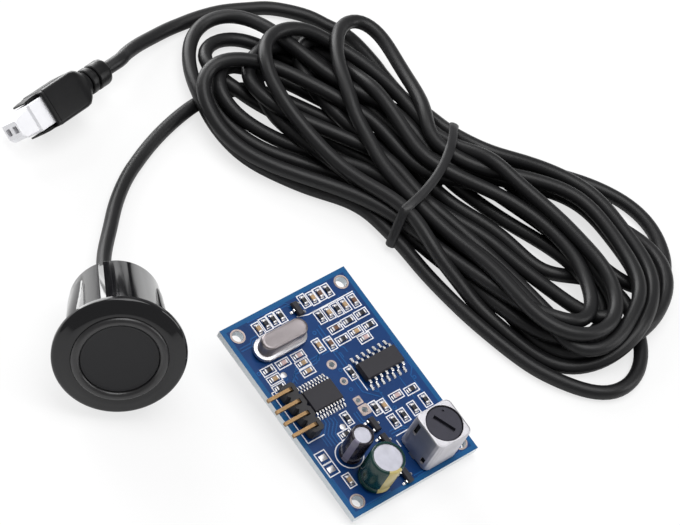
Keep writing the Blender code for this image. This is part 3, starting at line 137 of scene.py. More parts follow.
LEFT_TURNS = {
    "over_all": ((95, 95), (8, 5), (
        (-25, 52), (-32, 54), (-37, 55), (-43, 58), (-48, 60), (-53, 63), (-56, 66), (-57, 71),
        (-54, 72.6), (-51, 73), (-46, 72), (-41, 71), (-35, 70))),
    "under_front": ((92, 80), (7.5, 5), (
        (-25, 46), (-31, 45), (-40, 45), (-49, 46), (-55, 48), (-59, 50), (-61.5, 53.5), (-61, 59),
        (-59, 62), (-55, 64), (-48, 66.5), (-40, 68.2), (-33, 68.8))),
    "front": ((70, 90), (7, 7), (
        (-19.5, 45.5), (-24, 43), (-31.5, 37.5), (-35, 35), (-38.5, 33), (-42.5, 31.5), (-46.5, 31),
        (-51.5, 32), (-56, 33.5), (-58.5, 35.5), (-60.5, 38.5), (-60.5, 41.5), (-59.5, 44.5),
        (-57.5, 47.5), (-54, 50), (-50.5, 52), (-42.5, 55.5), (-33, 60))),
    "outer_left": ((60, 60), (2, 5), (
        (-21.5, 47), (-26.5, 44), (-30, 40.5), (-34, 38), (-40.5, 34.5), (-44.5, 33.5), (-49.5, 33.5),
        (-55, 34.5), (-59.5, 36), (-63, 37), (-66.5, 39), (-69, 41), (-71, 43.5), (-72, 47),
        (-71.5, 50.5), (-69.5, 53.5), (-66, 55.5), (-62, 56.5), (-57.5, 57.5), (-52, 58.5),
        (-41, 62), (-34, 64))),
    "far_left": ((35, 35), (2, 3), (
        (-27, 55.5), (-31, 54), (-35, 52), (-39, 50), (-43.5, 48), (-47.5, 46), (-52, 44.5), (-56, 43),
        (-59.5, 41.5), (-62.5, 41), (-65.5, 41.5), (-67.5, 43), (-68, 46), (-67.5, 49), (-65.5, 51.5),
        (-63.5, 53), (-59.5, 54.5), (-55.5, 56), (-51.5, 57.5), (-43, 61.5), (-35, 66))),
    "low_left": ((30, 30), (2, 2), (
        (-23.5, 52), (-27.5, 49.5), (-31.5, 46.5), (-37.5, 42), (-41.5, 39), (-45, 37.5), (-49.5, 36.5),
        (-54.5, 37), (-58.5, 38.5), (-61.5, 40.5), (-63.5, 43.5), (-63, 46.5), (-61.5, 49), (-59, 51.5),
        (-55.5, 54), (-52, 56), (-44, 60), (-34, 66.5))),
    "inner_left": ((40, 40), (2, 2), (
        (-25, 54), (-29, 52), (-36.5, 47), (-40, 44.5), (-44, 42), (-48.5, 40), (-53, 39), (-57.5, 39.5),
        (-61, 41), (-62.5, 43.5), (-62.5, 46), (-61, 49), (-59, 51), (-56, 53.5), (-52, 55.5),
        (-44, 58.5), (-34, 62.5))),
    "hidden_f": ((50, 50), (2, 2), (
        (-29, 57.5), (-33.5, 55.5), (-37, 53.5), (-41, 51.5), (-45, 49), (-48.5, 47.5), (-52, 46.5),
        (-55.5, 46.5), (-58.5, 47.5), (-61, 50.5), (-62, 54), (-61, 57.5), (-58.5, 59.5), (-55, 60.5),
        (-50, 61), (-42, 62), (-34, 62))),
    "hidden_g": ((45, 45), (2, 2), (
        (-24, 50.5), (-31, 49), (-38, 47), (-45, 45.5), (-51, 45.5), (-56.5, 47), (-60, 50), (-62, 53.5),
        (-62.5, 57), (-61, 60.5), (-57.5, 62.5), (-51.5, 64), (-45.5, 64.5), (-39, 65.5), (-33, 65))),
    "hidden_h": ((55, 55), (2, 2), (
        (-28, 59.5), (-34, 58), (-40, 56.8), (-46, 56.3), (-52, 56.5), (-57, 58), (-59.5, 60.5),
        (-59, 63.5), (-56, 65.3), (-50, 66.5), (-42, 68), (-34, 69.5))),
}
# The order of the half turns, each between its two passes through the tie. A pass is its place from the
# tie's far edge, in half diameters, and its layer.
WINDING_ORDER = (
    ((8, 0), "loose", (18, 0), "outer_left"),
    ((4, 0), "hidden_b", (16, 0), "hidden_g"),
    ((6, 2), "low", (17, 1), "front"),
    ((7, 1), "hidden_c", (10, 0), "hidden_h"),
    ((1, 1), "top", (16, 2), "under_front"),
    ((2, 2), "inner", (14, 2), "over_all"),
    ((4, 2), "hidden_d", (13, 1), "inner_left"),
    ((6, 0), "hidden_e", (12, 0), "hidden_f"),
    ((5, 1), "hidden_a", (15, 1), "low_left"),
    ((3, 1), "second", (14, 0), "far_left"),
    ((2, 0), "outer", (0, 0), None),
)
PROBE_LEAD_POINTS = 32
PLUG_LEAD_POINTS = 58
PLAN_SMOOTHING = 3.2
SETTLING_ROUNDS = 700
SINKING, LAST_SINKING = 0.12, 0.03
TIE_CEILING = 5.2
HANK_REACH, TIE_REACH = 15.0, 5.0

across_tie = (TIE_NEAR - TIE_FAR) / np.linalg.norm(TIE_NEAR - TIE_FAR)
along_tie = np.array([-across_tie[1], across_tie[0]])
tie_middle = (TIE_FAR + TIE_NEAR) / 2


def laid_route():
    """The cable's stations in mm, end to end: x, y, height above the floor, and level among the turns."""
    rows = [(*point, 10) for point in PROBE_LEAD]

    def half_turn(turn):
        (level_a, level_b), (height_a, height_b), points = turn
        for index, (x, y) in enumerate(points):
            part = index / (len(points) - 1)
            rows.append((x, y, height_a + (height_b - height_a) * part, level_a + (level_b - level_a) * part))

    def tie_pass(place, layer):
        x, y = TIE_FAR + (TIE_NEAR - TIE_FAR) * place / TIE_PLACES
        rows.append((x, y, CABLE_DIAMETER / 2 + layer * LAYER_HEIGHT, 10 + 40 * layer + place / 10))

    for far, right, near, left in WINDING_ORDER:
        tie_pass(*far)
        half_turn(RIGHT_TURNS[right])
        tie_pass(*near)
        if left:
            half_turn(LEFT_TURNS[left])
    rows.extend((*point, 8) for point in PLUG_LEAD)
    return np.array(rows, float)


def evenly_along(points, step):
    """Points a step apart on the smooth curve through the stations, with their heights and levels."""
    padded = np.vstack([2 * points[0] - points[1], points, 2 * points[-1] - points[-2]])
    found = []
    for index in range(1, len(padded) - 2):
        a, b, c, d = padded[index - 1:index + 3]
        t1 = math.sqrt(np.linalg.norm((b - a)[:3]))
        t2 = t1 + math.sqrt(np.linalg.norm((c - b)[:3]))
        t3 = t2 + math.sqrt(np.linalg.norm((d - c)[:3]))
        t = np.linspace(t1, t2, 24, endpoint=False)[:, None]
        ab = (t1 - t) / t1 * a + t / t1 * b
        bc = (t2 - t) / (t2 - t1) * b + (t - t1) / (t2 - t1) * c
        cd = (t3 - t) / (t3 - t2) * c + (t - t2) / (t3 - t2) * d
        abc = (t2 - t) / t2 * ab + t / t2 * bc
        bcd = (t3 - t) / (t3 - t1) * bc + (t - t1) / (t3 - t1) * cd
        found.append((t2 - t) / (t2 - t1) * abc + (t - t1) / (t2 - t1) * bcd)
    found = np.vstack([*found, points[-1:]])
    along = np.r_[0, np.cumsum(np.linalg.norm(np.diff(found[:, :3], axis=0), axis=1))]
    wanted = np.linspace(0, along[-1], round(along[-1] / step) + 1)
    return np.stack([np.interp(wanted, along, found[:, axis]) for axis in range(found.shape[1])], 1)


def averaged(values, rounds):
    """Values along the cable, each averaged with its neighbours, some rounds over."""
    for _ in range(rounds):
        values = values.copy()
        values[1:-1] = (values[:-2] + 2 * values[1:-1] + values[2:]) / 4
    return values


def smoothed(values, reach):
    """A curve without its small waves, averaged twice over so that it doesn't shrink."""
    rounds = round(2 * (reach / CABLE_STEP)**2)
    once = averaged(values, rounds)
    return once + averaged(values - once, rounds)


def settled(stations, rounds):
    """The laid cable after it has sunk on to the floor and on to itself. Its plan stays as laid, apart from
    what makes room, and a point that comes to rest higher slides along the view that it was read from."""
    count = len(stations)
    radius = CABLE_DIAMETER / 2
    free = np.ones(count)
    free[:PROBE_LEAD_POINTS] = 0
    free[-PLUG_LEAD_POINTS:] = 0
    held = (free == 0)[:, None]
    plan = np.where(held, stations[:, :2], smoothed(stations[:, :2], PLAN_SMOOTHING))
    read_height = stations[:, 2]
    from_tie = np.abs((plan - tie_middle) @ along_tie)
    under_tie = np.abs((plan - tie_middle) @ across_tie) < HANK_REACH
    in_tie = (from_tie < TIE_REACH) & under_tie
    bed = radius + np.where(under_tie, np.clip(1.3 - from_tie / 12, 0, 1), 0) * (TIE_THICKNESS + 0.15)
    view = np.array(camera_back[:2]) / camera_back[2]
    height = np.where(free > 0, radius + averaged(stations[:, 3], 30) * 0.32, read_height)
    place = np.column_stack([plan, height])
    order = np.arange(count)
    apart = math.ceil(2.2 * CABLE_DIAMETER / CABLE_STEP)
    for turn in range(rounds):
        if turn % 10 == 0:
            gaps = (place[:, None, 0] - place[None, :, 0])**2 + (place[:, None, 1] - place[None, :, 1])**2
            first, second = np.nonzero((gaps < (CABLE_DIAMETER + 1)**2)
                                       & (order[None, :] - order[:, None] > apart))
            raised = np.clip(averaged(place[:, 2], 6) - read_height, -6, 6) * free
            wanted = plan + averaged(raised, 8)[:, None] * view
        place[:, 2] -= (SINKING if turn < 0.85 * rounds else LAST_SINKING) * free
        shift = averaged(place[:, :2] - wanted, 6) * 0.97
        place[:, :2] = np.where(held, place[:, :2], wanted + shift)
        for reach in (1, 3):
            between = (place[:-2 * reach, 2] + place[2 * reach:, 2]) / 2
            inside = slice(reach, -reach)
            place[inside, 2] += 0.35 * (between - place[inside, 2]) * free[inside]
        for _ in range(4):
            gap = place[first] - place[second]
            distance = np.maximum(np.linalg.norm(gap, axis=1), 1e-4)
            touching = distance < CABLE_DIAMETER
            a, b = first[touching], second[touching]
            push = (0.5 * (CABLE_DIAMETER / distance[touching] - 1))[:, None] * gap[touching]
            touches = np.maximum(np.bincount(a, minlength=count) + np.bincount(b, minlength=count), 1)
            for axis, strength in enumerate((0.7, 0.7, 1.3)):
                moved = np.bincount(a, push[:, axis], count) - np.bincount(b, push[:, axis], count)
                place[:, axis] += strength * moved / touches**0.6 * free
            place[:, 2] = np.where(free > 0, np.maximum(place[:, 2], bed), place[:, 2])
        if turn > rounds / 2:
            ceiling = bed + TIE_CEILING + 12 * (1 - turn / rounds)
            place[:, 2] = np.where(in_tie & (free > 0), np.minimum(place[:, 2], ceiling), place[:, 2])
    return np.where(held, place, averaged(place, 8))


cable_points = settled(evenly_along(laid_route(), CABLE_STEP), SETTLING_ROUNDS)


def math_node(nodes, links, operation, first, second=None, third=None):
    """A Math node, fed with numbers or with other nodes' outputs."""
    node = nodes.new("ShaderNodeMath")
    node.operation = operation
    for socket, value in zip(node.inputs, (first, second, third)):
        if isinstance(value, (int, float)):
            socket.default_value = value
        elif value is not None:
            links.new(value, socket)
    return node.outputs[0]


def surface_grain():
    """Shader group: a finish's slow change of tone, its patchy gloss and its fine grain."""
    group = bpy.data.node_groups.new("surface_grain", "ShaderNodeTree")
    for name, kind, value in (
            ("Colour", "NodeSocketColor", (0.5, 0.5, 0.5, 1)), ("Tone", "NodeSocketFloat", 0.1),
            ("Gloss", "NodeSocketFloat", 0.4), ("Gloss spread", "NodeSocketFloat", 0.1),
            ("Patch scale", "NodeSocketFloat", 200.0), ("Grain scale", "NodeSocketFloat", 4000.0),
            ("Grain height", "NodeSocketFloat", 0.00001)):
        socket = group.interface.new_socket(name, in_out="INPUT", socket_type=kind)
        socket.default_value = value
    for name, kind in (("Colour", "NodeSocketColor"), ("Roughness", "NodeSocketFloat"),
                       ("Normal", "NodeSocketVector")):
        group.interface.new_socket(name, in_out="OUTPUT", socket_type=kind)
    nodes, links = group.nodes, group.links
    given = nodes.new("NodeGroupInput")
    result = nodes.new("NodeGroupOutput")
    coordinates = nodes.new("ShaderNodeTexCoord")
    noises = []
    for scale, detail in (("Patch scale", 3.0), ("Grain scale", 4.0)):
        noise = nodes.new("ShaderNodeTexNoise")
        noise.inputs["Detail"].default_value = detail
        links.new(coordinates.outputs["Object"], noise.inputs["Vector"])
        links.new(given.outputs[scale], noise.inputs["Scale"])
        noises.append(noise.outputs["Fac"])
    patches, grain = noises
    centred = math_node(nodes, links, "SUBTRACT", patches, 0.5)
    brighter = math_node(nodes, links, "MULTIPLY_ADD", centred, given.outputs["Tone"], 1.0)
    rough = math_node(nodes, links, "MULTIPLY_ADD", centred, given.outputs["Gloss spread"],
                      given.outputs["Gloss"])
    tinted = nodes.new("ShaderNodeVectorMath")
    tinted.operation = "SCALE"
    bump = nodes.new("ShaderNodeBump")
    for output, socket in (
            (given.outputs["Colour"], tinted.inputs[0]), (brighter, tinted.inputs["Scale"]),
            (grain, bump.inputs["Height"]), (given.outputs["Grain height"], bump.inputs["Distance"]),
            (tinted.outputs[0], result.inputs["Colour"]), (rough, result.inputs["Roughness"]),
            (bump.outputs["Normal"], result.inputs["Normal"])):
        links.new(output, socket)
    return group


grain_group = surface_grain()


def finish(name, colour, gloss, tone=0.2, spread=0.12, patch=250.0, grain=3500.0, height=0.012 * MM,
           metallic=0.0, specular=0.5):
    """A material of one colour with the shared grain. Gloss is its mean roughness."""
    made = bpy.data.materials.new(name)
    made.use_nodes = True
    shader = made.node_tree.nodes["Principled BSDF"]
    shader.inputs["Metallic"].default_value = metallic
    shader.inputs["Specular IOR Level"].default_value = specular
    grained = made.node_tree.nodes.new("ShaderNodeGroup")
    grained.node_tree = grain_group
    for socket, value in (("Colour", (*colour, 1.0)), ("Tone", tone), ("Gloss", gloss),
                          ("Gloss spread", spread), ("Patch scale", patch), ("Grain scale", grain),
                          ("Grain height", height)):
        grained.inputs[socket].default_value = value
    for output, socket in (("Colour", "Base Color"), ("Roughness", "Roughness"), ("Normal", "Normal")):
        made.node_tree.links.new(grained.outputs[output], shader.inputs[socket])
    return made


def put(name, shape, material, place, sharp=35.0):
    """A new piece from a shape in mm, set at its place in the frame. It rides on the set."""
    bmesh.ops.recalc_face_normals(shape, faces=shape.faces[:])
    bmesh.ops.scale(shape, vec=(MM, MM, MM), verts=shape.verts[:])
    mesh = bpy.data.meshes.new(name)
    shape.to_mesh(mesh)
    shape.free()
    mesh.shade_smooth()
    mesh.set_sharp_from_angle(angle=math.radians(sharp))
    mesh.materials.append(material)
    piece = bpy.data.objects.new(name, mesh)
    piece.matrix_world = place
    bpy.context.scene.collection.objects.link(piece)
    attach(piece, "sensor_set")
    return piece


def bridged(shape, rings, closed=False):
    """Faces between each ring of points and the next, with a face at each end or a way back to the first."""
    for ring, after in zip(rings, [*rings[1:], rings[0]] if closed else rings[1:]):
        for index in range(len(ring)):
            beside = (index + 1) % len(ring)
            shape.faces.new((ring[index], ring[beside], after[beside], after[index]))
    if not closed:
        shape.faces.new(rings[0][::-1])
        shape.faces.new(rings[-1])


def tube(points, radius, sides):
    """A round tube along points in mm, its rings carried along without twist."""
    ways = np.gradient(points, axis=0)
    ways /= np.linalg.norm(ways, axis=1)[:, None]
    normal = np.cross(ways[0], (0.0, 0.0, 1.0))
    angles = np.arange(sides) * 2 * np.pi / sides
    shape = bmesh.new()
    rings = []
    for point, way in zip(points, ways):
        normal = normal - way * (normal @ way)
        normal /= np.linalg.norm(normal)
        around = np.outer(np.cos(angles), normal) + np.outer(np.sin(angles), np.cross(way, normal))
        rings.append([shape.verts.new(place) for place in point + radius * around])
    bridged(shape, rings)
    return shape


jacket_black = finish("jacket_black", (0.0085, 0.0085, 0.0092), 0.40, tone=0.4, spread=0.15, patch=60.0,
                      grain=2500.0, height=0.02 * MM, specular=0.30)
cable = put("cable", tube(cable_points, CABLE_DIAMETER / 2, 16), jacket_black, Matrix())
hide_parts("cable_lead_probe", "cable_lead_plug", "cable_hank")

# Tie. A strip of black film over a wire, bent once round the middle of the hank and pressed flat on it.
# Its inside is the strands' own outline at the tie, and it lies under them on the floor.
TIE_WIDTH = 1.8
TIE_SLACK = 0.1
TIE_BOW = 2.2
TIE_STEPS = 96


def bow_at(across):
    """How far the tie has slipped along the hank, in mm, at a place across it: most at its middle."""
    return TIE_BOW * np.clip(1 - (across / (np.linalg.norm(TIE_NEAR - TIE_FAR) / 2))**2, 0, 1)


def strand_places():
    """Where the cable passes the bowed tie, in mm: place across the hank, and height."""
    across = (cable_points[:, :2] - tie_middle) @ across_tie
    offsets = (cable_points[:, :2] - tie_middle) @ along_tie - bow_at(across)
    half_hank = np.linalg.norm(TIE_NEAR - TIE_FAR) / 2 + 2 * CABLE_DIAMETER
    found = []
    for index in np.nonzero(offsets[:-1] * offsets[1:] <= 0)[0]:
        if abs(across[index]) < half_hank:
            found.append((across[index], cable_points[index, 2]))
    return np.array(found)


def tie_band():
    """A closed band: at each angle, the distance from the middle to the lines that hem the strands in."""
    strands = strand_places()
    angles = np.arange(TIE_STEPS) * 2 * np.pi / TIE_STEPS
    ways = np.column_stack([np.cos(angles), np.sin(angles)])
    middle = (strands.min(axis=0) + strands.max(axis=0)) / 2
    reach = ((strands - middle) @ ways.T).max(axis=0) + CABLE_DIAMETER / 2 + TIE_SLACK
    facing = ways @ ways.T
    inside = np.where(facing > 0.01, reach[None, :] / np.maximum(facing, 0.01), np.inf).min(axis=1)
    shape = bmesh.new()
    rings = []
    for step, (way, distance) in enumerate(zip(ways, inside)):
        ring = []
        for edge, depth in ((-0.95, 0.0), (-1.0, 0.35), (-0.8, 0.75), (-0.35, 1.0), (0.35, 1.0), (0.8, 0.75),
                            (1.0, 0.35), (0.95, 0.0)):
            across, up = middle + way * (distance + depth * TIE_THICKNESS)
            x, y = tie_middle + across_tie * across + along_tie * (bow_at(across) + edge * TIE_WIDTH / 2)
            ring.append(shape.verts.new((x, y, max(up, 0.05))))
        rings.append(ring)
    bridged(shape, rings, closed=True)
    return shape


film_black = finish("film_black", (0.012, 0.012, 0.013), 0.36, tone=0.3, patch=400.0, specular=0.35)
cable_tie = put("cable_tie_band", tie_band(), film_black, Matrix())
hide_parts("cable_tie")

# Circuit board. Glass fibre laminate under a blue solder mask, with its copper seen as raised lines.
# A painted highlight makes the mask paler along the board's edges,
# and the sawn sides and the holes show the bare laminate.
BOARD_LENGTH = 41.0
BOARD_WIDTH = 28.5
BOARD_THICKNESS = 1.6
MASK_BLUE = (0.0008, 0.030, 0.128)
# The next colour is a painted highlight: the mask's paler tone in a band along the board's edges.
MASK_EDGE_HIGHLIGHT = (0.0016, 0.072, 0.205)
MASK_TRACE = (0.0022, 0.070, 0.230)
LAMINATE = (0.74, 0.79, 0.82)
EDGE_BAND = 0.9

core_axis = frame["record"]["behaviour"]["joints"][0]["axis"]
board_lean = math.atan2(core_axis[0], core_axis[2])
board_low, board_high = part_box("circuit_board")
board_corner = Vector((board_low[0], board_low[1],
                       board_high[2] - BOARD_THICKNESS * MM * math.cos(board_lean)))
board_place = Matrix.Translation(board_corner) @ Matrix.Rotation(board_lean, 4, "Y")


def dress(material, *names):
    """Gives solids of the frame their finish."""
    for name in names:
        for slot in frame["nodes"][name].material_slots:
            slot.material = material


def board_masks():
    """Shader group: the band along the board's edges that carries the mask's painted highlight, and where the
    bare laminate shows.
    """
    group = bpy.data.node_groups.new("board_masks", "ShaderNodeTree")
    for name in ("Margin", "Laminate"):
        group.interface.new_socket(name, in_out="OUTPUT", socket_type="NodeSocketFloat")
    nodes, links = group.nodes, group.links
    result = nodes.new("NodeGroupOutput")
    coordinates = nodes.new("ShaderNodeTexCoord")
    local = nodes.new("ShaderNodeMapping")
    local.vector_type = "TEXTURE"
    local.inputs["Location"].default_value = board_corner
    local.inputs["Rotation"].default_value = (0.0, board_lean, 0.0)
    links.new(coordinates.outputs["Object"], local.inputs["Vector"])
    axes = nodes.new("ShaderNodeSeparateXYZ")
    links.new(local.outputs[0], axes.inputs[0])
    past = []
    for axis, size in (("X", BOARD_LENGTH), ("Y", BOARD_WIDTH), ("Z", BOARD_THICKNESS)):
        centred = math_node(nodes, links, "SUBTRACT", axes.outputs[axis], size / 2 * MM)
        away = math_node(nodes, links, "ABSOLUTE", centred)
        past.append(math_node(nodes, links, "SUBTRACT", away, (size / 2 - EDGE_BAND) * MM))
    outer = math_node(nodes, links, "MAXIMUM", past[0], past[1])
    edge_highlight = math_node(nodes, links, "MULTIPLY_ADD", outer, 1 / (0.1 * MM), 0.5)
    links.new(math_node(nodes, links, "MINIMUM", math_node(nodes, links, "MAXIMUM", edge_highlight, 0.0), 1.0),
              result.inputs["Margin"])
    inner = math_node(nodes, links, "LESS_THAN", past[2], (EDGE_BAND - 0.006) * MM)
    links.new(inner, result.inputs["Laminate"])
    return group


def tinted_by(material, mask, colour):
    """Puts another colour on a finish where a mask says so."""
    nodes, links = material.node_tree.nodes, material.node_tree.links
    shader = nodes["Principled BSDF"]
    before = shader.inputs["Base Color"].links[0].from_socket
    mixed = nodes.new("ShaderNodeMix")
    mixed.data_type = "RGBA"
    links.new(mask, mixed.inputs["Factor"])
    links.new(before, mixed.inputs["A"])
    mixed.inputs["B"].default_value = (*colour, 1.0)
    links.new(mixed.outputs["Result"], shader.inputs["Base Color"])


solder_mask = finish("solder_mask", MASK_BLUE, 0.34, tone=0.5, spread=0.1, patch=110.0, grain=1500.0,
                     height=0.006 * MM, specular=0.22)
masks = solder_mask.node_tree.nodes.new("ShaderNodeGroup")
masks.node_tree = board_masks()
# Painted highlight: the mask turns paler in a band along the board's edges.
tinted_by(solder_mask, masks.outputs["Margin"], MASK_EDGE_HIGHLIGHT)
tinted_by(solder_mask, masks.outputs["Laminate"], LAMINATE)
dress(solder_mask, "circuit_board")

TRACE_WIDTH = 0.22
TRACE_RISE = 0.035
SUNK = 0.05
# Runs of parallel traces: the first one's points in mm, how many there are, and the step between them
TRACE_RUNS = (
    (((22.5, 5.8), (23.6, 5.8), (25.3, 4.1), (27.6, 4.1)), 5, (0.25, 0.65)),
    (((8.0, 16.2), (22.0, 16.2), (24.4, 18.6)), 2, (-0.5, 0.75)),
    (((22.7, 19.0), (27.6, 19.0)), 2, (0.0, 5.1)),
    (((15.6, 5.8), (14.6, 5.8), (13.4, 7.0), (13.4, 12.2), (11.9, 13.7)), 3, (-0.55, 0.65)),
    (((14.9, 17.3), (13.9, 17.3), (12.6, 16.0), (12.6, 14.0)), 2, (-0.6, 1.27)),
    (((4.6, 1.2), (4.6, 3.6), (3.9, 4.3), (3.9, 5.6)), 2, (0.6, 0.0)),
    (((1.0, 5.5), (1.0, 14.0), (1.6, 14.6)), 2, (0.55, 0.0)),
    (((4.4, 22.0), (5.0, 22.0)), 3, (0.0, 1.9)),
    (((30.6, 15.8), (30.6, 18.4), (31.6, 19.4)), 3, (0.6, 0.0)),
    (((33.0, 1.0), (39.0, 1.0), (39.9, 1.9), (39.9, 9.0)), 1, (0.0, 0.0)),
    (((39.6, 14.6), (39.6, 24.4), (37.6, 26.4), (33.6, 26.4)), 2, (0.45, 0.45)),
    (((24.6, 12.2), (26.6, 12.2), (27.4, 13.0)), 2, (0.0, 0.6)),
    (((15.8, 27.4), (22.4, 27.4), (23.6, 26.2), (27.4, 26.2)), 1, (0.0, 0.0)),
)
VIAS = ((13.3, 5.2), (4.4, 13.2), (16.6, 15.2), (12.9, 12.8), (30.2, 12.2), (31.8, 20.2), (27.3, 19.6),
        (8.4, 15.4), (24.2, 26.6), (33.4, 26.6), (20.6, 14.6), (27.0, 14.2), (10.2, 1.4), (5.2, 26.8))


def ribbon(shape, path, width, low, high, closed=False):
    """A strip of even width along a flat path: a trace, a line of print or a ring."""
    points = [Vector(point) for point in path]
    count = len(points)
    runs = [(points[(index + 1) % count] - points[index]).normalized()
            for index in range(count if closed else count - 1)]
    rings = []
    for index, point in enumerate(points):
        before = runs[index - 1 if index or closed else 0]
        after = runs[min(index, len(runs) - 1)]
        side = Vector((-before.y - after.y, before.x + after.x)).normalized()
        reach = side * (width / 2 / side.dot(Vector((-before.y, before.x))))
        corners = ((point + reach, low), (point - reach, low), (point - reach, high), (point + reach, high))
        rings.append([shape.verts.new((corner.x, corner.y, height)) for corner, height in corners])
    bridged(shape, rings, closed)


def circle(x, y, radius, steps=32):
    """Outline points of a circle, anticlockwise."""
    angles = (2 * math.pi * step / steps for step in range(steps))
    return [(x + radius * math.cos(angle), y + radius * math.sin(angle)) for angle in angles]


traces = bmesh.new()
for points, count, (step_x, step_y) in TRACE_RUNS:
    for copy in range(count):
        ribbon(traces, [(x + copy * step_x, y + copy * step_y) for x, y in points], TRACE_WIDTH,
               BOARD_THICKNESS - SUNK, BOARD_THICKNESS + TRACE_RISE)
for x, y in VIAS:
    ribbon(traces, circle(x, y, 0.3, 20), 0.2, BOARD_THICKNESS - SUNK, BOARD_THICKNESS + TRACE_RISE, True)
trace_blue = finish("trace_blue", MASK_TRACE, 0.32, tone=0.4, spread=0.1, patch=150.0, specular=0.25)
put("board_traces", traces, trace_blue, board_place)

# Plated holes and pads. Tinned copper rings round the four mounting holes, the four empty lead holes and
# the test point, and the bare pads beside the large capacitor. The plating on the holes has browned.
PLATING = (0.36, 0.30, 0.28)
PAD_RISE = 0.05
MOUNT_INSET = 2.4
ROUND_RINGS = (
    *((x, y, 1.05, 0.34) for x in (MOUNT_INSET, BOARD_LENGTH - MOUNT_INSET)
      for y in (MOUNT_INSET, BOARD_WIDTH - MOUNT_INSET)),
    (15.0, 14.4, 0.5, 0.42), (18.7, 14.4, 0.4, 0.34),
)
SQUARE_RINGS = ((25.0, 14.4, 0.5, 1.0), (23.0, 14.4, 0.4, 0.78))


rings = bmesh.new()
for x, y, hole, width in ROUND_RINGS:
    for low, high in ((BOARD_THICKNESS - SUNK, BOARD_THICKNESS + PAD_RISE), (-PAD_RISE, SUNK)):
        ribbon(rings, circle(x, y, hole + 0.02 + width / 2), width, low, high, True)
    ribbon(rings, circle(x, y, hole + 0.035), 0.07, 0.02, BOARD_THICKNESS - 0.02, True)
for x, y, hole, half in SQUARE_RINGS:
    for low, high in ((BOARD_THICKNESS - SUNK, BOARD_THICKNESS + PAD_RISE), (-PAD_RISE, SUNK)):
        ways = [(math.cos(angle), math.sin(angle))
                for angle in (math.pi * (index + 0.5) / 16 for index in range(32))]
        inner = [(x + cosine * (hole + 0.03), y + sine * (hole + 0.03)) for cosine, sine in ways]
        reaches = [half / max(abs(cosine), abs(sine)) for cosine, sine in ways]
        outer = [(x + cosine * reach, y + sine * reach) for (cosine, sine), reach in zip(ways, reaches)]
        sides = ((inner, low), (outer, low), (outer, high), (inner, high))
        bridged(rings, [[rings.verts.new((*point, height)) for point in points] for points, height in sides],
                closed=True)
plated = finish("browned_plating", PLATING, 0.42, tone=0.9, spread=0.25, patch=900.0, metallic=1.0)
put("plated_rings", rings, plated, board_place)

# Small surface parts. Chip resistors and capacitors, 1.6 mm long, each soldered by its two silver ends to
# the board and framed by lines of white print. Places are in mm on the board, by their middle.
PART_LENGTH, PART_WIDTH, PART_HEIGHT = 1.6, 0.8, 0.5
END_LENGTH = 0.36
PART_SEAT = 0.06
FRAME_LENGTH, FRAME_WIDTH = 2.65, 1.5
PRINT_WIDTH = 0.2
PRINT_LEVELS = (BOARD_THICKNESS - SUNK, BOARD_THICKNESS + 0.045)
BODY_COLOURS = {"tan": (0.36, 0.24, 0.13), "brown": (0.12, 0.06, 0.035), "black": (0.012, 0.012, 0.016),
                "pink": (0.48, 0.34, 0.33)}
# Parts that lie along the board, and parts that lie across it
PARTS_ALONG = {
    "tan": ((2.6, 19.3), (6.4, 20.2), (3.0, 6.6), (10.8, 14.5), (26.1, 18.0), (34.7, 3.5), (6.5, 23.8)),
    "brown": ((2.5, 21.0), (6.6, 25.9), (11.5, 16.7)),
    "black": ((2.3, 17.5), (2.6, 22.7), (6.3, 18.3), (6.5, 22.0), (2.8, 8.4), (2.7, 10.1), (2.8, 11.8),
              (18.0, 16.6), (25.7, 16.3), (29.4, 17.8), (29.3, 20.1), (29.1, 22.7), (28.8, 25.6),
              (24.9, 10.4)),
}
PARTS_ACROSS = {
    "tan": ((11.8, 22.4), (12.4, 3.3), (12.3, 9.8), (14.0, 9.7)),
    "brown": ((9.5, 19.4),),
    "black": ((9.4, 22.5), (9.3, 25.6), (11.9, 19.3), (11.9, 25.5), (10.5, 3.3), (14.2, 3.2), (25.9, 24.6),
              (27.2, 8.4)),
    "pink": ((10.6, 6.6), (10.7, 10.0), (13.6, 23.2), (25.6, 21.3)),
}
BARE_PADS = ((28.9, 1.9), (31.4, 1.9))
TEST_PADS = ((12.5, 5.3), (25.8, 8.8))


def rounded(length, width, radius, steps=3):
    """Outline points, anticlockwise, of a rectangle about the origin with round corners."""
    points = []
    for quarter, (side_x, side_y) in enumerate(((1, 1), (-1, 1), (-1, -1), (1, -1))):
        for step in range(steps + 1):
            angle = (quarter + step / steps) * math.pi / 2
            points.append((side_x * (length / 2 - radius) + radius * math.cos(angle),
                           side_y * (width / 2 - radius) + radius * math.sin(angle)))
    return points


def loft(shape, sections, place=Matrix()):
    """A closed body through flat sections of equally many points, each with its height."""
    bridged(shape, [[shape.verts.new(place @ Vector((x, y, height))) for x, y in outline]
                    for outline, height in sections])


def small_block(shape, place, offset, length, width, low, high, edge):
    """A block with softened upper edges, at an offset along its part."""
    loft(shape, [(rounded(length - 2 * draw, width - 2 * draw, edge), height)
                 for draw, height in ((0.0, low), (0.0, high - edge), (0.3 * edge, high - 0.3 * edge),
                                      (edge * 0.95, high))],
         place @ Matrix.Translation((offset, 0.0, 0.0)))


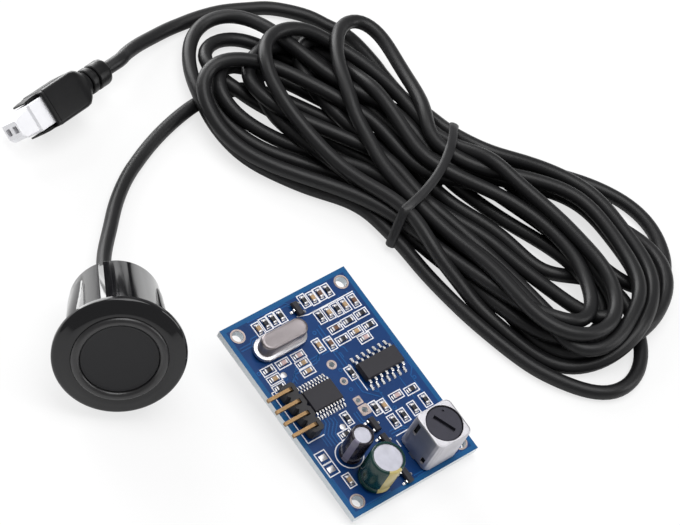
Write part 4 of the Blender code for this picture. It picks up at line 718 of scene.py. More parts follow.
bodies = {name: bmesh.new() for name in BODY_COLOURS}
ends, fillets, print_lines = bmesh.new(), bmesh.new(), bmesh.new()
part_low = BOARD_THICKNESS + PART_SEAT
for across, groups in ((False, PARTS_ALONG), (True, PARTS_ACROSS)):
    for body, places in groups.items():
        for x, y in places:
            place = Matrix.Translation((x, y, 0.0)) @ Matrix.Rotation(math.pi / 2 if across else 0.0, 4, "Z")
            small_block(bodies[body], place, 0.0, PART_LENGTH - 2 * END_LENGTH + 0.06, PART_WIDTH - 0.04,
                        part_low, part_low + PART_HEIGHT - 0.03, 0.05)
            for side in (-1, 1):
                small_block(ends, place, side * (PART_LENGTH - END_LENGTH) / 2, END_LENGTH, PART_WIDTH,
                            part_low, part_low + PART_HEIGHT, 0.06)
                small_block(fillets, place, side * (PART_LENGTH / 2 + 0.02), 0.5, PART_WIDTH + 0.06,
                            BOARD_THICKNESS - SUNK, BOARD_THICKNESS + 0.16, 0.14)
for places, long_x, long_y in ((sum(PARTS_ALONG.values(), ()), FRAME_LENGTH, FRAME_WIDTH),
                               (sum(PARTS_ACROSS.values(), ()), FRAME_WIDTH, FRAME_LENGTH),
                               (BARE_PADS, 2.4, 2.2)):
    for x, y in places:
        corners = [(x + side_x * long_x / 2, y + side_y * long_y / 2)
                   for side_x, side_y in ((-1, -1), (1, -1), (1, 1), (-1, 1))]
        ribbon(print_lines, corners, PRINT_WIDTH, *PRINT_LEVELS, closed=True)
for x, y in BARE_PADS:
    small_block(fillets, Matrix.Translation((x, y, 0.0)), 0.0, 1.2, 1.5, BOARD_THICKNESS - SUNK,
                BOARD_THICKNESS + 0.14, 0.13)
for x, y in TEST_PADS:
    loft(fillets, [(circle(x, y, radius, 24), BOARD_THICKNESS + level)
                   for radius, level in ((0.58, -SUNK), (0.58, 0.02), (0.45, 0.07))])
for body, colour in BODY_COLOURS.items():
    ceramic = finish(f"{body}_part", colour, 0.45, tone=0.8, patch=900.0, grain=9000.0, specular=0.35)
    put(f"small_parts_{body}", bodies[body], ceramic, board_place)
end_tin = finish("end_tin", (0.50, 0.49, 0.50), 0.42, tone=0.6, spread=0.2, patch=1200.0, metallic=1.0)
put("small_part_ends", ends, end_tin, board_place)
put("small_part_solder", fillets, end_tin, board_place)

# White print. The rings and lines that the board has beside its parts' frames: round the small capacitor,
# along the header, beside the amplifier and from the far-left transistor.
SMALL_CAPACITOR_MIDDLE = (30.7, 6.6)
PRINT_RINGS = ((*SMALL_CAPACITOR_MIDDLE, 2.6), (9.1, 20.9, 0.32))
PRINT_LINES = (
    ((14.4, 1.2), (25.4, 1.2)), ((14.4, 4.9), (14.4, 1.2)), ((25.4, 1.2), (25.4, 4.9)),
    ((16.4, 17.2), (22.2, 17.2)), ((4.3, 14.4), (4.9, 16.6), (4.9, 26.9)), ((32.6, 15.9), (34.0, 15.9)),
    ((31.9, 16.4), (31.9, 24.6)), ((33.2, 25.0), (39.4, 25.0)),
)
for line in PRINT_LINES:
    ribbon(print_lines, line, PRINT_WIDTH, *PRINT_LEVELS)
for x, y, radius in PRINT_RINGS:
    ribbon(print_lines, circle(x, y, radius, 48), PRINT_WIDTH, *PRINT_LEVELS, closed=True)
print_white = finish("print_white", (0.74, 0.74, 0.78), 0.6, tone=0.15, patch=700.0, specular=0.3)
put("board_print", print_lines, print_white, board_place)

# Solder joints. Where the header, crystal, capacitors and transformer pass through the board, a cone of
# solder climbs each lead's end under the board.
JOINT_BASE, SMALL_JOINT_BASE, JOINT_TIP, JOINT_RISE = 0.85, 0.68, 0.34, 0.75
HEADER_FIRST_PIN, HEADER_PITCH = (16.2, 3.05), 2.54
SMALL_LEAD_REACH, LARGE_LEAD_REACH = 0.75, 1.25
LARGE_CAPACITOR_MIDDLE = (36.5, 7.8)
TRANSFORMER_MIDDLE, TRANSFORMER_PINS = (36.35, 20.3), (2.45, 2.25)
LEAD_ENDS = (
    *((HEADER_FIRST_PIN[0] + HEADER_PITCH * pin, HEADER_FIRST_PIN[1]) for pin in range(4)),
    *((x + side * reach, y) for (x, y), reach in ((SMALL_CAPACITOR_MIDDLE, SMALL_LEAD_REACH),
                                                  (LARGE_CAPACITOR_MIDDLE, LARGE_LEAD_REACH))
      for side in (-1, 1)),
    *((TRANSFORMER_MIDDLE[0] + side * TRANSFORMER_PINS[0], TRANSFORMER_MIDDLE[1] + row * TRANSFORMER_PINS[1])
      for side, row in ((-1, -1), (-1, 0), (-1, 1), (1, -1), (1, 1))),
)
joints = bmesh.new()
for x, y in LEAD_ENDS:
    reach = SMALL_JOINT_BASE if abs(x - SMALL_CAPACITOR_MIDDLE[0]) < 1 else JOINT_BASE
    heights = [(circle(x, y, JOINT_TIP + (reach - JOINT_TIP) * (1 - part)**2.2, 20), -JOINT_RISE * part)
               for part in (1.0, 0.75, 0.5, 0.25, 0.1, 0.0)]
    loft(joints, [*heights, (circle(x, y, reach, 20), SUNK)])
solder = finish("solder", (0.60, 0.59, 0.58), 0.28, tone=0.4, patch=700.0, metallic=1.0)
put("solder_joints", joints, solder, board_place)

# Crystal. A drawn steel can, pressed on to a bright flanged base and welded round it, which stands
# just clear of the board on two leads. The can's top is satin from rolling, its edges are polished.
CRYSTAL_MIDDLE = (7.1, 8.2)
CRYSTAL_BASE = (11.1, 4.7, 0.95)
CRYSTAL_CAN = (9.8, 3.45, 2.75)
CRYSTAL_LEAD_PITCH = 4.9
CRYSTAL_SEAT = BOARD_THICKNESS + 0.3


def stadium(length, width, draw, steps=14):
    """A long outline with round ends, drawn in from its edge. The long side lies across the board."""
    return rounded(width - 2 * draw, length - 2 * draw, width / 2 - draw - 0.001, steps)


crystal_place = board_place @ Matrix.Translation(Vector((*CRYSTAL_MIDDLE, CRYSTAL_SEAT)) * MM)
base = bmesh.new()
length, width, height = CRYSTAL_BASE
loft(base, [(stadium(length, width, draw), level)
            for draw, level in ((0.2, 0.0), (0.05, 0.06), (0.0, 0.18), (0.0, height - 0.18),
                                (0.05, height - 0.06), (0.2, height))])
for side in (-1, 1):
    loft(base, [(circle(0.0, side * CRYSTAL_LEAD_PITCH / 2, 0.3, 16), level) for level in (-1.9, 0.1)])
bright_steel = finish("bright_steel", (0.62, 0.61, 0.63), 0.30, tone=0.2, patch=500.0, metallic=1.0)
crystal_base = put("crystal_flange", base, bright_steel, crystal_place)
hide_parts("crystal_base")
can = bmesh.new()
length, width, height = CRYSTAL_CAN
low = CRYSTAL_BASE[2] + 0.02
profile = [(0.0, low), (0.0, low + height - 0.55)]
profile += [(0.5 * (1 - math.cos(angle)), low + height - 0.5 + 0.5 * math.sin(angle))
            for angle in (step * math.pi / 16 for step in range(1, 8))]
profile += [(0.62, low + height), (0.85, low + height - 0.02)]
loft(can, [(stadium(length, width, draw), level) for draw, level in profile])
satin_steel = finish("satin_steel", (0.26, 0.235, 0.24), 0.40, tone=0.35, spread=0.2, patch=420.0,
                     grain=5000.0, height=0.01 * MM, metallic=1.0)
crystal_can = put("crystal_cover", can, satin_steel, crystal_place)
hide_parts("crystal_can")

# Chips and transistors. Black moulded bodies that draw in above and below their tinned legs, which are
# bent down to the board like gull wings. The two chips have a dimple at their first leg.
CHIP_LIFT = 0.1
CHIP_DRAFT = 0.14
LEG_THICKNESS = 0.18
SOLDERED = BOARD_THICKNESS + 0.15
TRANSISTOR = ((1.3, 2.9, 0.95), ((-1, -0.95), (-1, 0.95), (1, 0.0)), 0.42, 2.5)
# Node, middle, turn in degrees, body across and along its legs and high, legs as side and place, width, span
CHIPS = (
    ("microcontroller", (19.3, 8.7), 0.0, (4.4, 6.5, 1.0),
     [(side, (leg - 4.5) * 0.65) for side in (-1, 1) for leg in range(10)], 0.28, 7.0),
    ("amplifier", (19.2, 22.0), 0.0, (3.6, 8.65, 1.45),
     [(side, (leg - 3) * 1.27) for side in (-1, 1) for leg in range(7)], 0.42, 6.8),
    *((f"transistor_{number}", middle, turn, *TRANSISTOR)
      for number, (middle, turn) in enumerate((((3.2, 15.1), -90.0), ((28.3, 13.8), 90.0),
                                               ((31.9, 13.8), 90.0), ((39.1, 13.0), 90.0)), 1)),
)


def moulded_body(size, dimpled):
    """A moulded body in mm. A dimple is a shallow dish in its upper face."""
    across, along, height = size
    shape = bmesh.new()
    middle, top = CHIP_LIFT + height / 2, CHIP_LIFT + height
    levels = ((CHIP_DRAFT + 0.05, CHIP_LIFT), (CHIP_DRAFT, CHIP_LIFT + 0.05), (0.0, middle - 0.04),
              (0.0, middle + 0.04), (CHIP_DRAFT, top - 0.05), (CHIP_DRAFT + 0.05, top))
    loft(shape, [(rounded(across - 2 * draw, along - 2 * draw, 0.08, 2), level) for draw, level in levels])
    if dimpled:
        x, y = 0.9 - across / 2, 0.9 - along / 2
        loft(shape, [(circle(x, y, radius, 24), level) for radius, level in
                     ((0.42, top - 0.2), (0.42, top + 0.004), (0.36, top + 0.006), (0.30, top - 0.05))])
    return shape


def gull_wings(size, legs, width, span):
    """The legs in mm: out of the body's side, down in two round bends and out along the board."""
    across, _, height = size
    shape = bmesh.new()
    start, end = across / 2, span / 2
    knee = start + (end - start) * 0.38
    drop = CHIP_LIFT + height / 2
    bend = min(0.2, drop * 0.4)
    foot = LEG_THICKNESS / 2
    path = [(start - 0.3, drop)]
    path += [(knee - bend + bend * math.sin(angle), drop - bend + bend * math.cos(angle))
             for angle in (step * math.pi / 10 for step in range(5))]
    path += [(knee + 0.02 + bend - bend * math.cos(angle), foot + bend - bend * math.sin(angle))
             for angle in (step * math.pi / 10 for step in range(1, 6))]
    path += [(end, foot)]
    for side, along in legs:
        turn = Matrix.Translation((0.0, along, 0.0)) @ Matrix.Rotation(0.0 if side > 0 else math.pi, 4, "Z")
        leg = bmesh.new()
        ribbon(leg, path, LEG_THICKNESS, -width / 2, width / 2)
        leg.transform(turn @ Matrix.Rotation(math.pi / 2, 4, "X"))
        mesh = bpy.data.meshes.new("leg")
        leg.to_mesh(mesh)
        leg.free()
        shape.from_mesh(mesh)
        bpy.data.meshes.remove(mesh)
    return shape


moulding_black = finish("moulding_black", (0.019, 0.018, 0.023), 0.50, tone=0.35, spread=0.15, patch=350.0,
                        grain=9000.0, height=0.012 * MM, specular=0.30)
leg_tin = finish("leg_tin", (0.72, 0.71, 0.70), 0.24, tone=0.3, patch=900.0, metallic=1.0)
for node, middle, turn, size, legs, leg_width, span in CHIPS:
    place = board_place @ Matrix.Translation(Vector((*middle, SOLDERED)) * MM)
    place = place @ Matrix.Rotation(math.radians(turn), 4, "Z")
    body = put(f"{node}_body", moulded_body(size, len(legs) > 3), moulding_black, place)
    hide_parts(node)
    put(f"{node}_legs", gull_wings(size, legs, leg_width, span), leg_tin, place)
    feet = bmesh.new()
    for side, along in legs:
        reach = span / 2 - 0.25
        small_block(feet, Matrix.Translation((side * reach, along, 0.0)), 0.0, 0.8, leg_width + 0.04,
                    -0.2, 0.05, 0.04)
    put(f"{node}_pads", feet, end_tin, place)

# Pin header. Four square brass pins with a thin gold flash, pushed through a black moulded strip and bent
# over it towards the board's edge.
pin_brass = finish("pin_brass", (0.27, 0.17, 0.085), 0.38, tone=0.4, spread=0.15, patch=800.0, metallic=1.0)
strip_black = finish("strip_black", (0.017, 0.016, 0.018), 0.46, tone=0.3, patch=500.0, specular=0.35)
dress(strip_black, "header_block")
dress(pin_brass, *(f"header_pin_{pin}" for pin in range(1, 5)))

# Electrolytic capacitors. Aluminium cans with a dished end, each in a sleeve of film shrunk over its
# rims. The black sleeve has a pale stripe on its negative side, and the dark green one a gold stripe.
SLEEVE_WALL = 0.2
TURNING_STEPS = 72
# Name, middle, how far each lead stands from it, radius, height, the sleeve's slot and colour, and the
# stripe's colour, direction and half width, these two in degrees
CAPACITORS = (
    ("small_capacitor", SMALL_CAPACITOR_MIDDLE, SMALL_LEAD_REACH, 2.15, 7.8, "black_sleeve",
     (0.012, 0.010, 0.016), (0.15, 0.14, 0.20), -74.0, 17.0),
    ("large_capacitor", LARGE_CAPACITOR_MIDDLE, LARGE_LEAD_REACH, 3.2, 8.2, "green_sleeve",
     (0.003, 0.030, 0.026), (0.46, 0.38, 0.15), -9.0, 24.0),
)


def turned(profile, steps=TURNING_STEPS):
    """A turned shape in mm from its profile of radius and height, down its outer side, about Z."""
    shape = bmesh.new()
    rings = []
    for radius, height in profile:
        if radius < 1e-6:
            rings.append([shape.verts.new((0.0, 0.0, height))] * steps)
        else:
            rings.append([shape.verts.new((x, y, height)) for x, y in circle(0.0, 0.0, radius, steps)])
    pairs = list(zip(rings, rings[1:]))
    if profile[0][0] > 1e-6:
        pairs.append((rings[-1], rings[0]))
    for upper, lower in pairs:
        for index in range(steps):
            beside = (index + 1) % steps
            corners = dict.fromkeys((upper[index], lower[index], lower[beside], upper[beside]))
            shape.faces.new(tuple(corners))
    return shape


def striped(material, direction, half_width, colour):
    """Puts a straight stripe on a turned sleeve: where its angle about its own axis is near one direction."""
    nodes, links = material.node_tree.nodes, material.node_tree.links
    coordinates = nodes.new("ShaderNodeTexCoord")
    turning = nodes.new("ShaderNodeVectorRotate")
    turning.rotation_type = "Z_AXIS"
    turning.inputs["Angle"].default_value = math.radians(-direction)
    links.new(coordinates.outputs["Object"], turning.inputs["Vector"])
    axes = nodes.new("ShaderNodeSeparateXYZ")
    links.new(turning.outputs[0], axes.inputs[0])
    angle = math_node(nodes, links, "ARCTAN2", axes.outputs["Y"], axes.outputs["X"])
    away = math_node(nodes, links, "ABSOLUTE", angle)
    inside = math_node(nodes, links, "LESS_THAN", away, math.radians(half_width))
    tinted_by(material, inside, colour)


can_aluminium = finish("can_aluminium", (0.40, 0.40, 0.45), 0.42, tone=0.6, spread=0.2, patch=500.0,
                       grain=6000.0, height=0.01 * MM, metallic=1.0)
for name, middle, lead_reach, radius, height, slot, colour, stripe, direction, half_width in CAPACITORS:
    place = board_place @ Matrix.Translation(Vector((*middle, BOARD_THICKNESS)) * MM)
    inner = radius - SLEEVE_WALL
    top = height - SLEEVE_WALL
    can = turned([(0.0, top), (inner - 0.6, top), (inner - 0.45, top), (inner - 0.3, top - 0.015),
                  (inner - 0.12, top - 0.1), (inner - 0.02, top - 0.3), (inner - 0.02, 0.5),
                  (inner - 0.3, 0.36), (0.0, 0.36)])
    piece = put(f"{name}_shell", can, can_aluminium, place)
    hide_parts(f"{name}_can")
    leads = bmesh.new()
    for side in (-1, 1):
        loft(leads, [(circle(side * lead_reach, 0.0, 0.3, 16), level)
                     for level in (-BOARD_THICKNESS - 1.3, 0.5)])
    put(f"{name}_leads", leads, solder, place)
    waist = 0.16 * radius
    outside = [(inner - 0.35, height), (radius - 0.42, height), (radius - 0.2, height - 0.06),
               (radius - 0.06, height - 0.2), (radius, height - 0.45)]
    outside += [(radius, 4.4 * waist), (radius - 0.06, 3.9 * waist), (radius - waist * 0.5, 3.1 * waist),
                (radius - 0.06, 2.3 * waist), (radius, 1.8 * waist), (radius - 0.03, 0.5),
                (radius - 0.2, 0.32)]
    inside = [(inner - 0.2, 0.32), (inner - 0.2, 0.36), (inner - 0.01, 0.5), (inner - 0.01, height - 0.5),
              (inner - 0.35, height - 0.1)]
    film = finish(f"{slot}_film", colour, 0.20, tone=0.4, spread=0.1, patch=300.0, grain=2500.0,
                  height=0.01 * MM, specular=0.35)
    striped(film, direction, half_width, stripe)
    sleeve = put(f"{name}_film", turned(outside + inside), film, place)
    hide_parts(f"{name}_sleeve")

# Step-up transformer. A drawn steel shield, tinned and rubbed dull, over a moulded former with its drum
# core and winding. The threaded ferrite core in its mouth turns with a screwdriver to trim the output.
shield_steel = finish("shield_steel", (0.56, 0.55, 0.58), 0.55, tone=0.5, spread=0.25, patch=260.0,
                      grain=4000.0, height=0.02 * MM, metallic=1.0)
core_ferrite = finish("core_ferrite", (0.034, 0.033, 0.046), 0.62, tone=0.5, spread=0.15, patch=600.0,
                      grain=7000.0, height=0.03 * MM, specular=0.3)
drum_ferrite = finish("drum_ferrite", (0.04, 0.04, 0.045), 0.6, tone=0.3, patch=600.0, specular=0.3)
wound_copper = finish("wound_copper", (0.55, 0.22, 0.08), 0.3, tone=0.3, patch=900.0, metallic=1.0)
former_black = finish("former_black", (0.02, 0.02, 0.022), 0.5, patch=500.0, specular=0.35)
pin_tin = finish("pin_tin", (0.68, 0.67, 0.66), 0.28, tone=0.3, patch=900.0, metallic=1.0)
dress(shield_steel, "transformer_shield")
dress(core_ferrite, "tuning_core")
dress(drum_ferrite, "drum_core")
dress(wound_copper, "winding")
dress(former_black, "transformer_former")
dress(pin_tin, *(f"transformer_pin_{pin}" for pin in range(1, 6)))

# Probe socket. A white nylon side-entry socket under the board, with two tinned contacts bent to their
# solder pads. It is moulded in one piece and stands the board off the table.
socket_nylon = finish("socket_nylon", (0.80, 0.80, 0.81), 0.42, tone=0.06, patch=200.0, grain=5000.0)
dress(socket_nylon, "probe_socket")
dress(pin_tin, "socket_contact_1", "socket_contact_2")

# Probe housing. One glossy black moulding: a flange that sits on the panel, a barrel that goes through
# it, and two wings in the barrel's wall that spring out behind the panel and hold it there.
PROBE_PLACE = Vector((-11.76, -20.26, 13.887))
PROBE_AZIMUTH, PROBE_TILT, PROBE_ROLL = -37.1, 70.45, 89.0
PROBE_STEPS = 160
CUP_RADIUS = 6.9
SLEEVE_BORE = CUP_RADIUS + 0.7
BARREL_RADIUS = 8.4
REAR_RADIUS = 8.0
RING_RADIUS = 8.45
FLANGE_RADIUS = 11.75
FLANGE_THICKNESS = 1.9
FACE_CONE = 0.45
PROBE_LENGTH = 18.97
SHOULDER_DEPTH = 10.2
WING_ANGLE, WING_GAP_ANGLE = 71.0, 0.5
WING_RISE, WING_FREE_END, WING_ROOT, WING_THICKNESS = 9.5, 3.6, 16.2, 0.8
NOTCH_WIDTH, NOTCH_DEPTH, NOTCH_ANGLE = 0.8, 1.3, 117.0

probe_place = (Matrix.Translation(PROBE_PLACE * MM) @ Matrix.Rotation(math.radians(PROBE_AZIMUTH), 4, "Z")
               @ Matrix.Rotation(math.radians(PROBE_TILT), 4, "Y")
               @ Matrix.Rotation(math.radians(PROBE_ROLL), 4, "Z"))


def sector(shape, profile, middle, angle, steps, lowest=2 * FLANGE_RADIUS):
    """A profile of radius and height swept part of the way round Z, in degrees.
    What stands out past the lowest radius is rounded down to it at the sweep's two sides."""
    rings = []
    for step in range(steps + 1):
        turn = math.radians(middle + angle * (step / steps - 0.5))
        swell = 1 - abs(2 * step / steps - 1)**5
        ring = []
        for radius, height in profile:
            reach = min(radius, lowest) + max(radius - lowest, 0.0) * swell
            ring.append(shape.verts.new((reach * math.cos(turn), reach * math.sin(turn), height)))
        rings.append(ring)
    bridged(shape, rings)


def combined(shape, others):
    """A shape after other shapes have been cut from it or joined to it."""
    objects = []
    for part in (shape, *(other for other, _ in others)):
        bmesh.ops.recalc_face_normals(part, faces=part.faces[:])
        mesh = bpy.data.meshes.new("working")
        part.to_mesh(mesh)
        part.free()
        working = bpy.data.objects.new("working", mesh)
        bpy.context.scene.collection.objects.link(working)
        objects.append(working)
    for other, (_, operation) in zip(objects[1:], others):
        modifier = objects[0].modifiers.new("part", "BOOLEAN")
        modifier.operation = operation
        modifier.object = other
    evaluated = objects[0].evaluated_get(bpy.context.evaluated_depsgraph_get())
    result = bmesh.new()
    result.from_mesh(evaluated.to_mesh())
    for working in objects:
        mesh = working.data
        bpy.data.objects.remove(working)
        bpy.data.meshes.remove(mesh)
    return result


seat_bore = RING_RADIUS + 0.02
flange_edge = [(FLANGE_RADIUS - 0.95 + 0.95 * math.sin(angle), -FACE_CONE - 0.7 + 0.7 * math.cos(angle))
               for angle in (step * math.pi / 16 for step in range(1, 9))]
flange_back = [(FLANGE_RADIUS - 0.35 + 0.35 * math.cos(angle),
                -FLANGE_THICKNESS + 0.35 - 0.35 * math.sin(angle))
               for angle in (step * math.pi / 8 for step in range(1, 5))]
housing = turned([
    (seat_bore, -0.03), (seat_bore + 0.05, 0.0), (seat_bore + 0.7, 0.0), (FLANGE_RADIUS - 1.9, -0.16),
    *flange_edge, *flange_back, (BARREL_RADIUS + 0.5, -FLANGE_THICKNESS),
    (BARREL_RADIUS + 0.15, -FLANGE_THICKNESS - 0.15), (BARREL_RADIUS, -FLANGE_THICKNESS - 0.5),
    (REAR_RADIUS + 0.02, -PROBE_LENGTH + 0.35), (REAR_RADIUS - 0.1, -PROBE_LENGTH + 0.1),
    (REAR_RADIUS - 0.35, -PROBE_LENGTH), (CUP_RADIUS + 0.25, -PROBE_LENGTH),
    (CUP_RADIUS, -PROBE_LENGTH + 0.25), (CUP_RADIUS, -SHOULDER_DEPTH), (SLEEVE_BORE, -SHOULDER_DEPTH),
    (SLEEVE_BORE, -1.2), (seat_bore, -1.2)], PROBE_STEPS)
window_low = WING_ROOT - 0.8
windows, wings, notch = bmesh.new(), bmesh.new(), bmesh.new()
for middle in (0.0, 180.0):
    sector(windows, [(CUP_RADIUS / 2, -WING_FREE_END + 0.3), (2 * FLANGE_RADIUS, -WING_FREE_END + 0.3),
                     (2 * FLANGE_RADIUS, -window_low), (CUP_RADIUS / 2, -window_low)],
           middle, WING_ANGLE + 2 * WING_GAP_ANGLE, 32)
    sector(wings, [(WING_RISE - 0.3, -WING_FREE_END), (WING_RISE - 0.08, -WING_FREE_END - 0.08),
                   (WING_RISE, -WING_FREE_END - 0.35), (REAR_RADIUS + 0.42, -WING_ROOT),
                   (REAR_RADIUS - 0.15, -WING_ROOT - 1.6), (CUP_RADIUS + 0.4, -WING_ROOT - 1.6),
                   (CUP_RADIUS + 0.4, -window_low + 0.1), (WING_RISE - WING_THICKNESS, -WING_FREE_END)],
           middle, WING_ANGLE, 48, REAR_RADIUS + 0.1)
notch_place = Matrix.Rotation(math.radians(NOTCH_ANGLE), 4, "Z") @ Matrix.Translation((REAR_RADIUS, 0.0, 0.0))
loft(notch, [(rounded(4.0, NOTCH_WIDTH, 0.1), height)
             for height in (-PROBE_LENGTH - NOTCH_DEPTH, -PROBE_LENGTH + NOTCH_DEPTH)], notch_place)
gloss_black = finish("gloss_black", (0.006, 0.006, 0.007), 0.06, tone=0.3, spread=0.03, patch=120.0,
                     grain=500.0, height=0.0, specular=0.42)
probe_housing = put("probe_body", combined(housing, ((windows, "DIFFERENCE"), (wings, "UNION"),
                                                     (notch, "DIFFERENCE"))),
                    gloss_black, probe_place, 28.0)
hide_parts("probe_housing")

# Ring and cup. A soft rubber ring keeps the sounding cup free of the housing and stands a little proud.
# The aluminium cup is painted satin black, and its flat front is the face that sends and hears the sound.
RING_PROUD = 0.6
ring_inner, ring_wide = CUP_RADIUS + 0.02, RING_RADIUS
crown = [((ring_inner + ring_wide) / 2 + (ring_wide - ring_inner) / 2 * math.cos(angle),
          RING_PROUD * (0.15 + 0.85 * math.sin(angle)))
         for angle in (math.pi - step * math.pi / 14 for step in range(15))]
ring_shape = turned([*crown, (ring_wide, -0.9), (ring_inner + 0.4, -0.9),
                     (ring_inner + 0.4, -SHOULDER_DEPTH + 0.3), (ring_inner, -SHOULDER_DEPTH + 0.3)],
                    PROBE_STEPS)
ring_rubber = finish("ring_rubber", (0.013, 0.0125, 0.0135), 0.33, tone=0.3, spread=0.1, patch=150.0,
                     grain=3500.0, height=0.006 * MM, specular=0.6)
ring = put("ring_seal", ring_shape, ring_rubber, probe_place)
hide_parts("decoupling_ring")
cup_shape = turned([(0.0, -0.02), (CUP_RADIUS - 0.6, -0.02), (CUP_RADIUS - 0.45, 0.0),
                    (CUP_RADIUS - 0.3, 0.05), (CUP_RADIUS - 0.15, 0.04), (CUP_RADIUS - 0.04, -0.03),
                    (CUP_RADIUS, -0.15), (CUP_RADIUS, -9.2), (CUP_RADIUS - 0.8, -9.2),
                    (CUP_RADIUS - 0.8, -1.0), (CUP_RADIUS - 1.2, -0.6), (0.0, -0.6)], PROBE_STEPS)
face_paint = finish("face_paint", (0.0125, 0.0125, 0.0140), 0.40, tone=0.15, spread=0.06, patch=90.0,
                    grain=5000.0, height=0.008 * MM, specular=0.28)
cup = put("sounding_cup", cup_shape, face_paint, probe_place)
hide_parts("transducer_cup")

# Inside the probe. The silvered piezo disc is glued to the cup's floor and wired to the cable's cores, a
# felt pad damps it, and black potting compound closes the housing's rear round the cable.
silvered_ceramic = finish("silvered_ceramic", (0.62, 0.60, 0.56), 0.4, tone=0.2, patch=700.0)
felt_grey = finish("felt_grey", (0.05, 0.05, 0.052), 0.85, tone=0.5, patch=900.0, grain=2500.0,
                   height=0.06 * MM, specular=0.2)
potting_black = finish("potting_black", (0.010, 0.010, 0.011), 0.30, tone=0.3, patch=200.0, specular=0.4)
core_red = finish("core_red", (0.50, 0.02, 0.015), 0.4, patch=900.0)
core_black = finish("core_black", (0.012, 0.012, 0.013), 0.4, patch=900.0)
dress(silvered_ceramic, "piezo_disc")
dress(felt_grey, "damping_pad")
dress(potting_black, "potting")
dress(core_red, "wire_red")
dress(core_black, "wire_black")

# Plug. A white nylon two-way housing with its crimped contacts, held in a black boot that is moulded over
# the cable. The boot's two arms guard the housing, and its ringed neck eases the cable's bend.
PLUG_PLACE = Vector((-67.30, -1.54, 5.1215))
PLUG_HEADING, PLUG_ROLL = 98.65, 32.0
POCKET_HALF = (3.05, 3.30)
POCKET_DEPTH = 12.0
ARM_TIP, ARM_ROOT, ARM_WIDTH = 4.0, 8.6, 4.4
NECK_RADIUS = 2.6
# Each section of the boot: its place along the plug, half width, half height and corner radius
BOOT_SECTIONS = (
    (7.0, 3.45, 3.70, 0.7), (7.12, 3.58, 3.83, 0.7), (7.7, 3.6, 3.85, 0.7), (7.78, 3.7, 3.95, 0.7),
    (14.6, 3.7, 3.9, 0.8), (15.7, 3.6, 3.75, 1.1), (16.8, 3.2, 3.3, 1.7), (17.7, 2.75, 2.75, 2.3),
    (18.3, 2.5, 2.5, 2.45),
)
NECK_PROFILE = (
    (18.42, 2.15), (18.75, 2.15), (18.85, 2.48), (19.05, NECK_RADIUS), (19.95, NECK_RADIUS), (20.15, 2.48),
    (20.25, 2.15), (20.58, 2.15), (20.68, 2.48), (20.88, NECK_RADIUS), (22.9, NECK_RADIUS), (23.4, 2.48),
    (23.7, 2.2), (23.8, 1.85),
)

plug_place = (Matrix.Translation(PLUG_PLACE * MM) @ Matrix.Rotation(math.radians(PLUG_HEADING), 4, "Z")
              @ Matrix.Rotation(math.radians(PLUG_ROLL), 4, "X"))
boot_axes = Matrix(((0, 0, 1, 0), (1, 0, 0, 0), (0, 1, 0, 0), (0, 0, 0, 1)))
boot = bmesh.new()
boot_rings = [(rounded(2 * wide, 2 * tall, corner, 8), along) for along, wide, tall, corner in BOOT_SECTIONS]
boot_rings += [(rounded(2 * radius, 2 * radius, radius * 0.99, 8), along) for along, radius in NECK_PROFILE]
loft(boot, boot_rings, boot_axes)
pocket, arms, grips = bmesh.new(), bmesh.new(), bmesh.new()
pocket_outline = rounded(2 * POCKET_HALF[0], 2 * POCKET_HALF[1], 0.15)
loft(pocket, [(pocket_outline, along) for along in (2.0, POCKET_DEPTH)], boot_axes)
for side in (-1, 1):
    inside = POCKET_HALF[0]
    arm = [(ARM_TIP, inside), (ARM_ROOT, inside), (ARM_ROOT, inside + 0.6), (7.0, inside + 0.52),
           (ARM_TIP + 1.6, inside + 0.5), (ARM_TIP + 0.2, inside + 0.36), (ARM_TIP, inside + 0.25)]
    loft(arms, [([(along, side * out) for along, out in arm], height)
                for height in (-ARM_WIDTH / 2, ARM_WIDTH / 2)])
    for low, high in ((0.35, 0.95), (1.25, 1.85)):
        loft(grips, [(rounded(5.6, 0.7, 0.2), height) for height in (low, high)],
             Matrix.Translation((11.3, side * 3.78, 0.0)))
boot_black = finish("boot_black", (0.0038, 0.0038, 0.0043), 0.36, tone=0.4, spread=0.15, patch=180.0,
                    grain=2500.0, height=0.015 * MM, specular=0.26)
plug_boot = put("plug_boot_moulding", combined(boot, ((pocket, "DIFFERENCE"), (arms, "UNION"),
                                                      (grips, "DIFFERENCE"))),
                boot_black, plug_place, 30.0)
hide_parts("plug_boot")
plug_nylon = finish("plug_nylon", (0.83, 0.83, 0.86), 0.40, tone=0.06, patch=200.0, grain=5000.0)
dress(plug_nylon, "plug_housing")
dress(pin_tin, "plug_contact_1", "plug_contact_2")

# Floor. A plain white sheet under the set. Its own colour keeps the shadows, and the part of white that it
# shows to the camera alone makes the background white without more light.
FLOOR_SIZE = 3.0
FLOOR_WHITE = 0.84
FLOOR_GLOW = 0.72
floor_mesh = bpy.data.meshes.new("floor")
floor_shape = bmesh.new()
bmesh.ops.create_grid(floor_shape, x_segments=1, y_segments=1, size=FLOOR_SIZE)
floor_shape.to_mesh(floor_mesh)
floor_shape.free()
floor = bpy.data.objects.new("floor", floor_mesh)
bpy.context.scene.collection.objects.link(floor)
floor_paper = bpy.data.materials.new("floor_paper")
floor_paper.use_nodes = True
nodes, links = floor_paper.node_tree.nodes, floor_paper.node_tree.links
nodes["Principled BSDF"].inputs["Base Color"].default_value = (FLOOR_WHITE, FLOOR_WHITE, FLOOR_WHITE, 1.0)
nodes["Principled BSDF"].inputs["Roughness"].default_value = 0.9
nodes["Principled BSDF"].inputs["Specular IOR Level"].default_value = 0.0
glow = nodes.new("ShaderNodeEmission")
glow.inputs["Strength"].default_value = 1.0
rays = nodes.new("ShaderNodeLightPath")
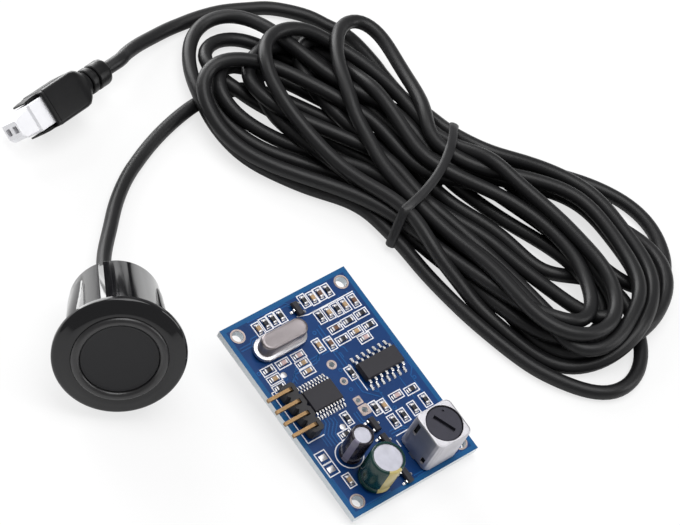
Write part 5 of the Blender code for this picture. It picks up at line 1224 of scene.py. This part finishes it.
share = math_node(nodes, links, "MULTIPLY", rays.outputs["Is Camera Ray"], FLOOR_GLOW)
blend = nodes.new("ShaderNodeMixShader")
links.new(share, blend.inputs["Fac"])
links.new(nodes["Principled BSDF"].outputs["BSDF"], blend.inputs[1])
links.new(glow.outputs["Emission"], blend.inputs[2])
links.new(blend.outputs[0], nodes["Material Output"].inputs["Surface"])
floor_mesh.materials.append(floor_paper)

# Light. A broad soft lamp overhead, panels at the left and right, and two low ones at the left, one of
# them flat on the floor, that draw the bright strip along the barrel. The world fills in, and is white to
# the camera and through glass.
WORLD_FILL = 0.34


def softbox(name, place, target, size, power):
    """A soft panel lamp that faces its target and isn't itself in the picture."""
    data = bpy.data.lights.new(name, "AREA")
    data.shape = "RECTANGLE"
    data.size, data.size_y = size
    data.energy = power
    lamp = bpy.data.objects.new(name, data)
    lamp.location = place
    lamp.rotation_euler = (Vector(target) - Vector(place)).to_track_quat("-Z", "Y").to_euler()
    lamp.visible_camera = False
    bpy.context.scene.collection.objects.link(lamp)


softbox("lamp_over", (0.0, 0.1, 1.0), (0, 0.03, 0), (0.9, 0.7), 8.0)
softbox("lamp_left", (-0.8, 0.1, 0.45), (0, 0.03, 0), (0.5, 0.5), 4.0)
softbox("lamp_right", (0.7, 0.7, 0.45), (0, 0.03, 0), (0.4, 0.6), 3.0)
softbox("lamp_low", (-0.30, 0.045, 0.046), (-0.02, -0.01, 0.030), (0.17, 0.09), 0.30)
softbox("lamp_sheet", (-0.19, 0.015, 0.001), (-0.19, 0.0151, 1.0), (0.20, 0.06), 0.25)

world = bpy.data.worlds.new("studio")
bpy.context.scene.world = world
world.use_nodes = True
nodes, links = world.node_tree.nodes, world.node_tree.links
background = nodes["Background"]
rays = nodes.new("ShaderNodeLightPath")
shown = math_node(nodes, links, "MAXIMUM", rays.outputs["Is Camera Ray"], rays.outputs["Is Transmission Ray"])
strength = math_node(nodes, links, "MULTIPLY_ADD", shown, 1.0 - WORLD_FILL, WORLD_FILL)
background.inputs["Color"].default_value = (1, 1, 1, 1)
links.new(strength, background.inputs["Strength"])

bpy.context.scene.view_settings.view_transform = "Standard"
